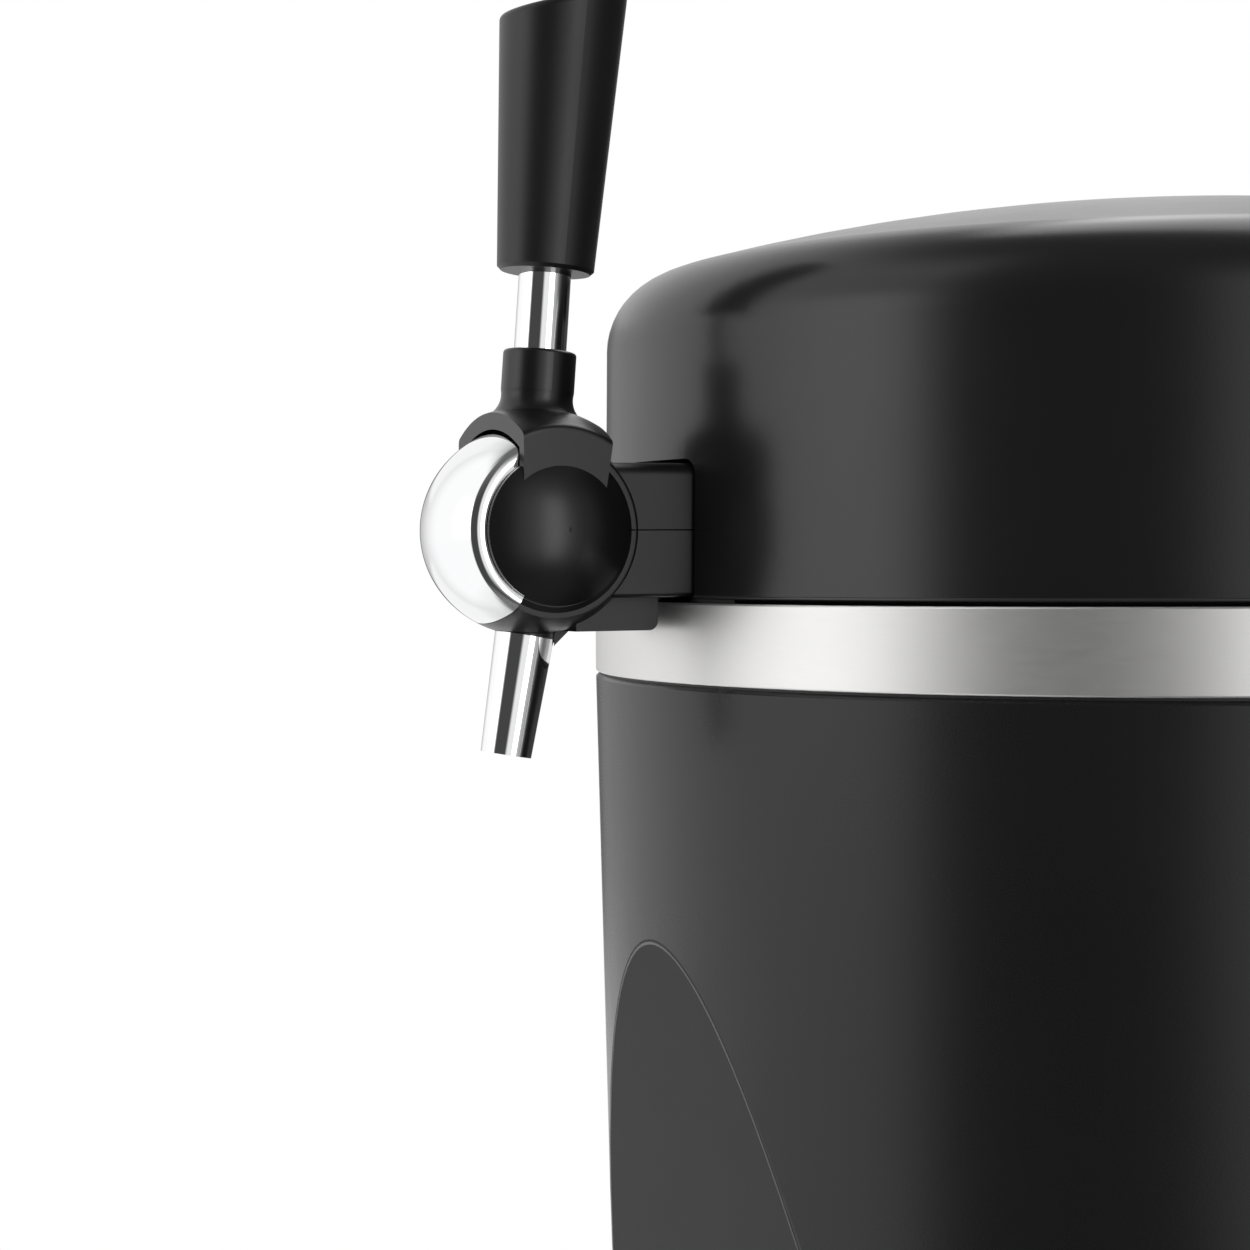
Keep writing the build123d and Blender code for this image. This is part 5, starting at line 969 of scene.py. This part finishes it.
class DISPENSER_OT_cover(bpy.types.Operator):
    """Makes the chrome front cover with its polished, rounded edges"""

    bl_idname = "dispenser.cover"
    bl_label = "Chrome cover"

    def execute(self, context):
        kit = settings().cover
        low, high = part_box("tap_front_cover")
        section = cover_section(kit, high.x, TAP_PIVOT.y - low.y)
        work = bmesh.new()
        rings = []
        for step in range(COVER_STEPS + 1):
            turn = kit.start + (kit.end - kit.start) * step / COVER_STEPS
            spots = [Vector((x, -out * math.sin(turn), out * math.cos(turn))) for x, out in section]
            rings.append([work.verts.new(TAP_PIVOT + spot) for spot in spots])
        skinned(work, rings)
        work.faces.new(rings[0])
        work.faces.new(rings[-1])
        bmesh.ops.recalc_face_normals(work, faces=work.faces)
        for face in work.faces:
            face.smooth = True
        piece = made("tap_front_cover_made", work, bpy.data.materials["polished_chrome"])
        piece.data.set_sharp_from_angle(angle=math.radians(30))
        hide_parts("tap_front_cover")
        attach(piece, BODY_OF["tap_front_cover"])
        return {"FINISHED"}


class DISPENSER_OT_screws(bpy.types.Operator):
    """Makes every screw with its cross recess and thread, and finishes the hinge pin"""

    bl_idname = "dispenser.screws"
    bl_label = "Screws"

    def execute(self, context):
        kit = settings().hardware
        finish = plated_screw("plated_screw_steel")
        tree = screw_tree(finish)
        chance = random.Random(kit.turn_seed)
        for node, axis in SCREW_AXES.items():
            places = [screw_place(points, axis) for points in solids(node)]
            source = bpy.data.meshes.new(node + "_places")
            source.from_pydata([place[0] for place in places], [], [])
            source.attributes.new("aim", "FLOAT_VECTOR", "POINT")
            source.attributes.new("spin", "FLOAT", "POINT")
            for index, place in enumerate(places):
                source.attributes["aim"].data[index].vector = place[1]
                source.attributes["spin"].data[index].value = chance.uniform(0.0, math.tau)
            _, _, radius, height, shank = places[0]
            sizes = {
                "Head Radius": radius,
                "Head Height": height,
                "Shank Radius": kit.shank_radius,
                "Shank Length": shank,
                "Recess Reach": kit.recess_reach,
                "Recess Width": kit.recess_width,
                "Recess Depth": min(kit.recess_depth, RECESS_LIMIT * height),
                "Thread Pitch": kit.thread_pitch,
            }
            piece = baked(node + "_made", source, tree, sizes, finish)
            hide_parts(node)
            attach(piece, BODY_OF[node])
        ground = drawn_metal(
            "ground_pin_steel", dark=(0.5, 0.5, 0.51), light=(0.66, 0.66, 0.67),
            stretch=(0.05, 1.0, 1.0), roughness=0.2,
        )
        dress(ground, "hinge_pin")
        return {"FINISHED"}


def arc(middle, radius, start, turn, steps):
    """Points round an arc, seen from above."""
    angles = [start + turn * step / steps for step in range(steps + 1)]
    return [(middle[0] + radius * math.cos(a), middle[1] + radius * math.sin(a)) for a in angles]


def grid_loops(kit, low, high):
    """The grid's outline and its slots as closed loops of points, seen from above."""
    half = (high.x - low.x) / 2
    centre = low.y + half
    corner = kit.grid_corner
    outline = arc((0.0, centre), half, math.pi, math.pi, GRID_FRONT_STEPS)
    for side, start in ((1, 0.0), (-1, math.pi / 2)):
        middle = (side * (half - corner), high.y - corner)
        outline += arc(middle, corner, start, math.pi / 2, GRID_CORNER_STEPS)
    loops = [outline]
    field = half - kit.grid_border
    rows = int((high.y - low.y - 2 * kit.grid_border) / kit.grid_pitch)
    end = kit.grid_slot / 2
    inner = kit.grid_rib / 2
    for row in range(rows):
        y = (low.y + high.y) / 2 + (row - (rows - 1) / 2) * kit.grid_pitch
        ahead = max(centre - (y - end), 0.0)
        reach = math.sqrt(max(field * field - ahead * ahead, 0.0))
        if reach - inner < LEAST_SLOT * kit.grid_slot:
            continue
        slot = arc((reach - end, y), end, -math.pi / 2, math.pi, SLOT_END_STEPS)
        slot += arc((inner + end, y), end, math.pi / 2, math.pi, SLOT_END_STEPS)
        for side in (-1, 1):
            loops.append([(side * x, across) for x, across in slot])
    return loops


def grid_tree(finish):
    """A pressed plate: loops are filled, holes left open, and the plate gets its thickness."""
    nodes, size = sized_tree("slotted_plate", ("Thickness", "Foot"))
    add = nodes.add
    curves = add("GeometryNodeMeshToCurve", {0: size["Geometry"]})
    face = add("GeometryNodeFillCurve", {"Curve": curves})
    offset = nodes.vector(z=size["Thickness"])
    sockets = {"Mesh": face, "Offset": offset, "Offset Scale": 1.0, "Individual": False}
    raised = add("GeometryNodeExtrudeMesh", sockets, mode="FACES")
    under = add("GeometryNodeFlipFaces", {"Mesh": face})
    plate = add("GeometryNodeJoinGeometry", {0: [raised, under]})
    sewn = add("GeometryNodeMergeByDistance", {"Geometry": plate, "Distance": WELD})
    foot = nodes.vector(z=size["Foot"])
    close_tree(nodes, add("GeometryNodeTransform", {"Geometry": sewn, "Translation": foot}), finish)
    return nodes.tree


class DISPENSER_OT_drip_grid(bpy.types.Operator):
    """Makes the slotted drip grid with pressed, rounded edges"""

    bl_idname = "dispenser.drip_grid"
    bl_label = "Drip grid"

    def execute(self, context):
        kit = settings().hardware
        low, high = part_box("drip_grid")
        finish = drawn_metal(
            "brushed_grid_steel", dark=(0.42, 0.42, 0.42), light=(0.62, 0.62, 0.62),
            stretch=(0.02, 1.0, 1.0), roughness=0.24,
        )
        points, edges = [], []
        for loop in grid_loops(kit, low, high):
            start = len(points)
            points.extend((x, y, low.z) for x, y in loop)
            edges.extend((start + i, start + (i + 1) % len(loop)) for i in range(len(loop)))
        source = bpy.data.meshes.new("drip_grid_loops")
        source.from_pydata(points, edges, [])
        sizes = {"Thickness": high.z - low.z, "Foot": low.z}
        piece = baked("drip_grid_made", source, grid_tree(finish), sizes, finish)
        soft = piece.modifiers.new("pressed_edges", "BEVEL")
        soft.width = kit.grid_soft
        soft.segments = 3
        soft.limit_method = "ANGLE"
        soft.angle_limit = math.radians(60)
        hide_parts("drip_grid")
        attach(piece, "grid")
        return {"FINISHED"}


def raised_bar(work, here):
    """A bar with rounded edges, half sunk in the face that it stands on."""
    bar = bmesh.ops.create_cube(work, size=1.0, matrix=here @ Matrix.Diagonal((*MARK_BAR, 1.0)))
    rim = [edge for edge in work.edges if edge.verts[0] in bar["verts"]]
    bmesh.ops.bevel(work, geom=rim, offset=MARK_BAR_EDGE, segments=2, affect="EDGES", profile=0.5)


def raised_ring(work, here):
    """A ring with chamfered edges, half sunk in the face that it stands on."""
    rings = []
    for step in range(MARK_RING_STEPS):
        angle = math.tau * step / MARK_RING_STEPS
        out = Vector((math.cos(angle), math.sin(angle), 0))
        spots = [out * radius + Vector((0, 0, height)) for radius, height in MARK_RING]
        rings.append([work.verts.new(here @ spot) for spot in spots])
    skinned(work, rings + rings[:1])


class DISPENSER_OT_switch_marks(bpy.types.Operator):
    """Puts the moulded bar and ring on the two ends of the rocker"""

    bl_idname = "dispenser.switch_marks"
    bl_label = "Switch marks"

    def execute(self, context):
        low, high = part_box("switch_rocker")
        middle = (low + high) / 2
        rocker = frame["nodes"]["switch_rocker"]
        paint = pale_plastic("white_mark", (0.7, 0.7, 0.69), roughness=0.4)
        work = bmesh.new()
        for side, shape in ((1, raised_bar), (-1, raised_ring)):
            eye = Vector((middle.x, high.y + MARK_EYE, middle.z + side * MARK_OFFSET))
            hit, spot, normal, _ = rocker.ray_cast(eye, Vector((0, -1, 0)))
            if not hit:
                raise RuntimeError("the rocker's face was not met")
            turn = normal.to_track_quat("Z", "Y").to_matrix().to_4x4()
            shape(work, Matrix.Translation(spot) @ turn)
        bmesh.ops.recalc_face_normals(work, faces=work.faces)
        piece = made("switch_marks", work, paint)
        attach(piece, "rocker")
        return {"FINISHED"}


def crest_path(sink):
    """The arched edge of the slanted face from left to right, a little under the surface."""
    work = welded("body_shell")
    face, _ = slanted_face()
    spots = {}
    for edge in work.edges:
        flat = [side.normal.dot(face) > FACE_FLATNESS for side in edge.link_faces]
        if sorted(flat) == [False, True] and edge.calc_face_angle() < CREST_FOLD:
            outward = sum((side.normal for side in edge.link_faces), Vector()).normalized()
            for vert in edge.verts:
                spots[vert] = vert.co - outward * sink
    path = sorted(spots.values(), key=lambda spot: spot.x)
    work.free()
    return path


def lip_path(sink):
    """The lower outer edge of the lid, from one side of its notch round to the other."""
    points = [vert.co.copy() for vert in frame["nodes"]["lid_shell"].data.vertices]
    foot = min(point.z for point in points)
    centre = Vector((0.0, AXIS_Y, foot))
    spokes = [point - centre for point in points if point.z < foot + 0.01 * MM]
    reach = max(spoke.length for spoke in spokes)
    turns = {round(math.atan2(s.x, -s.y) % math.tau, 4) for s in spokes if s.length > reach - 0.05 * MM}
    inner = reach - sink * math.sqrt(0.5)
    lift = Vector((0.0, 0.0, sink * math.sqrt(0.5)))
    return [centre + lift + Vector((math.sin(t), -math.cos(t), 0.0)) * inner for t in sorted(turns)]


def bead_tree(finish):
    """A round bead along a path of points."""
    nodes, size = sized_tree("edge_bead", ("Radius",))
    path = nodes.add("GeometryNodeMeshToCurve", {0: size["Geometry"]})
    ring = nodes.add("GeometryNodeCurvePrimitiveCircle", {"Resolution": 12, "Radius": size["Radius"]})
    sockets = {"Curve": path, "Profile Curve": ring, "Fill Caps": True}
    close_tree(nodes, nodes.add("GeometryNodeCurveToMesh", sockets), finish)
    return nodes.tree


class DISPENSER_OT_soft_edges(bpy.types.Operator):
    """Rounds the arched edge of the slanted face and the lid's lower edge, which catch the light, and paints both
    beads paler than the plastic as a painted highlight
    """

    bl_idname = "dispenser.soft_edges"
    bl_label = "Rounded edges"

    def execute(self, context):
        kit = settings().hardware
        pale = settings().finishes.edge_highlight_colour
        # Painted highlight: the crest bead gets the pale edge colour and the lid's lip bead 0.4 of it, both far
        # paler than the black plastic they round off
        crest = grained_plastic("bright_edge_skin", pale, roughness=0.2, deep=0.3)
        lip = grained_plastic("lid_edge_skin", scaled(pale, 0.4), roughness=0.2, deep=0.3)
        for name, node, path, finish, slot in (
            ("face_crest", "body_shell", crest_path(kit.edge_sink), crest, "cabinet_plastic"),
            ("lid_lip", "lid_shell", lip_path(kit.edge_sink), lip, "lid_plastic"),
        ):
            source = bpy.data.meshes.new(f"{name}_path")
            source.from_pydata(path, [(i, i + 1) for i in range(len(path) - 1)], [])
            piece = baked(name, source, bead_tree(finish), {"Radius": kit.edge_radius}, finish)
            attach(piece, BODY_OF[node])
        return {"FINISHED"}


def place_camera(lens):
    """A camera at the photograph's place, turn, tilt and lens."""
    along = Vector((math.cos(EYE_AZIMUTH), math.sin(EYE_AZIMUTH), 0))
    away = Vector((-math.sin(EYE_AZIMUTH), math.cos(EYE_AZIMUTH), 0))
    up = Vector((0, 0, 1))
    right = math.cos(EYE_TURN) * along + math.sin(EYE_TURN) * away
    level = -math.sin(EYE_TURN) * along + math.cos(EYE_TURN) * away
    forward = level * math.cos(EYE_PITCH) + up * math.sin(EYE_PITCH)
    upward = up * math.cos(EYE_PITCH) - level * math.sin(EYE_PITCH)
    rolled_right = right * math.cos(EYE_ROLL) + upward * math.sin(EYE_ROLL)
    rolled_up = upward * math.cos(EYE_ROLL) - right * math.sin(EYE_ROLL)
    turn = Matrix((rolled_right, rolled_up, -forward)).transposed().to_4x4()
    data = bpy.data.cameras.new("view")
    data.lens = lens
    data.sensor_width = SENSOR_WIDTH
    data.clip_start = 0.01
    camera = link("view", data)
    camera.matrix_world = Matrix.Translation(EYE) @ turn
    bpy.context.scene.camera = camera


def soft_lamp(name, power, azimuth, distance, height, width, tall, target, mirrored=True):
    """A soft lamp round the cabinet; azimuth 0 is in front of the tap, 90 on its right."""
    turn = math.radians(azimuth)
    place = Vector((distance * math.sin(turn), AXIS_Y - distance * math.cos(turn), height))
    data = bpy.data.lights.new(name, "AREA")
    data.shape = "RECTANGLE"
    data.size = width
    data.size_y = tall
    data.energy = power
    lamp = link(name, data)
    gaze = Vector((0.0, AXIS_Y, target)) - place
    lamp.matrix_world = Matrix.Translation(place) @ gaze.to_track_quat("-Z", "Y").to_matrix().to_4x4()
    lamp.visible_glossy = mirrored


def zone(nodes, azimuth, edges):
    """1 between two soft edges round the object, given in degrees."""
    low, rise, fall, high = map(math.radians, edges)
    return nodes.fade(azimuth, low, rise) * (1 - nodes.fade(azimuth, fall, high))


def studio_world():
    """White to the camera. Metal mirrors a white wall, a pale one at the right, and dark between them."""
    world = bpy.data.worlds.new("studio")
    world.use_nodes = True
    bpy.context.scene.world = world
    nodes = Nodes(world.node_tree)
    add, fade = nodes.add, nodes.fade
    x, y, z = nodes.split(add("ShaderNodeTexCoord", out="Generated"))
    azimuth = x.maths("ARCTAN2", x, y * -1.0)
    walls = DARK_LEVEL + zone(nodes, azimuth, PALE_WALL) * (PALE_LEVEL - DARK_LEVEL)
    walls = walls + zone(nodes, azimuth, BACKDROP) * (BACKDROP_LEVEL - DARK_LEVEL)
    walls = laid_over(walls, fade(z, *OVERHEAD), CEILING_LEVEL)
    walls = laid_over(walls, fade(z, *BELOW), DARK_LEVEL)
    white = zone(nodes, azimuth, WHITE_WALL) * fade(z, *WHITE_TOP) * fade(z, *WHITE_FOOT)
    glow = fade(azimuth, *map(math.radians, GLOW_TURN), *GLOW_LEVELS)
    bright = fade(azimuth, *map(math.radians, BRIGHT_TURN)) * BRIGHT_LEVEL
    bright = bright * fade(z, *BRIGHT_FOOT) * fade(z, *BRIGHT_TOP)
    mirrored = laid_over(walls, white, glow + bright)
    far = zone(nodes, azimuth, FAR_WALL) * fade(z * z, *FAR_GAP) * fade(z, *FAR_FOOT) * fade(z, *FAR_TOP)
    mirrored = laid_over(mirrored, far, FAR_LEVEL)
    path = add("ShaderNodeLightPath").socket.node
    rays = ("Is Camera Ray", "Is Glossy Ray", "Is Transmission Ray")
    seen, glossy, through = (Wire(nodes, path.outputs[ray]) for ray in rays)
    shown = seen.maths("MINIMUM", seen + through, 1.0)
    strength = laid_over(laid_over(ROOM_LEVEL, glossy, mirrored), shown, 1.0)
    sky = add("ShaderNodeBackground", {"Color": (1.0, 1.0, 1.0, 1.0), "Strength": strength})
    nodes.close("ShaderNodeOutputWorld", sky)


def pale_floor(radius, colour):
    """A round floor that fades out at its edge and keeps the object's shadow."""
    centre = Vector((0.0, (CAD_BOX[0].y + CAD_BOX[1].y) / 2, CAD_BOX[0].z))
    paint = Finish("pale_floor")
    _, distance = paint.around(paint.x - centre.x, paint.y - centre.y)
    shade = paint.shades(paint.noise(20 * MM, detail=3.0), colour, start=0.99, end=1.01)
    body = paint.add("ShaderNodeBsdfPrincipled", {"Base Color": shade, "Roughness": 0.6})
    clear = paint.add("ShaderNodeBsdfTransparent")
    edge = paint.fade(distance, *(share * radius for share in FLOOR_FADE))
    glossy = paint.add("ShaderNodeLightPath", out="Is Glossy Ray")
    gone = 1 - (1 - edge) * (1 - glossy * FLOOR_LOSS)
    mix = paint.add("ShaderNodeMixShader", {0: gone, 1: body, 2: clear})
    paint.close("ShaderNodeOutputMaterial", mix)
    work = bmesh.new()
    bmesh.ops.create_circle(work, cap_ends=True, segments=FLOOR_STEPS, radius=radius)
    bmesh.ops.translate(work, verts=work.verts, vec=centre)
    floor = made("floor", work, paint.material)


class DISPENSER_OT_stage(bpy.types.Operator):
    """Sets the camera, the soft lamps, the white surroundings and the floor"""

    bl_idname = "dispenser.stage"
    bl_label = "Stage"

    def execute(self, context):
        stage = settings().stage
        context.scene.view_settings.view_transform = "Standard"
        place_camera(stage.lens)
        studio_world()
        pale_floor(stage.floor_radius, stage.floor_colour)
        soft_lamp(
            "front_lamp", stage.front_power, azimuth=1.0, distance=0.95, height=0.66, width=0.26, tall=0.64,
            target=0.4, mirrored=False,
        )
        soft_lamp(
            "left_lamp", stage.left_power, azimuth=-68.0, distance=1.1, height=0.45, width=0.8, tall=1.0,
            target=0.28, mirrored=False,
        )
        soft_lamp(
            "side_lamp", stage.side_power, azimuth=90.0, distance=0.95, height=0.36, width=0.3, tall=0.9,
            target=0.28,
        )
        soft_lamp(
            "top_lamp", stage.top_power, azimuth=-150.0, distance=0.5, height=1.2, width=0.8, tall=0.8,
            target=0.3,
        )
        return {"FINISHED"}


class DispenserSettings(bpy.types.PropertyGroup):
    """All values of the dispenser."""

    finishes: PointerProperty(type=DispenserFinishes, name="Finishes", description="Colours and surfaces")
    hardware: PointerProperty(type=DispenserHardware, name="Small parts", description="Sizes of small parts")
    cover: PointerProperty(type=DispenserCover, name="Chrome cover", description="Sizes of the chrome cover")
    stage: PointerProperty(type=DispenserStage, name="Stage", description="Floor, lamps and camera")


OPERATORS = (
    DISPENSER_OT_stage,
    DISPENSER_OT_cabinet,
    DISPENSER_OT_band,
    DISPENSER_OT_lid,
    DISPENSER_OT_chamber,
    DISPENSER_OT_tap,
    DISPENSER_OT_cover,
    DISPENSER_OT_lever,
    DISPENSER_OT_screws,
    DISPENSER_OT_drip_grid,
    DISPENSER_OT_switch_marks,
    DISPENSER_OT_soft_edges,
)


class DISPENSER_PT_panel(bpy.types.Panel):
    """Lists the dispenser's steps and values"""

    bl_label = "Draft beer dispenser"
    bl_space_type = "VIEW_3D"
    bl_region_type = "UI"
    bl_category = "Dispenser"

    def draw(self, context):
        values = context.scene.dispenser
        for operator in OPERATORS:
            self.layout.operator(operator.bl_idname)
        for group in (values.finishes, values.hardware, values.cover, values.stage):
            box = self.layout.box()
            for name in group.__annotations__:
                box.prop(group, name)


CLASSES = (
    DispenserFinishes,
    DispenserHardware,
    DispenserCover,
    DispenserStage,
    DispenserSettings,
    *OPERATORS,
    DISPENSER_PT_panel,
)


def register():
    for kind in CLASSES:
        bpy.utils.register_class(kind)
    bpy.types.Scene.dispenser = PointerProperty(type=DispenserSettings)


def unregister():
    del bpy.types.Scene.dispenser
    for kind in reversed(CLASSES):
        bpy.utils.unregister_class(kind)


def main():
    register()
    for operator in OPERATORS:
        group, name = operator.bl_idname.split(".")
        getattr(getattr(bpy.ops, group), name)()


if __name__ == "__main__":
    main()
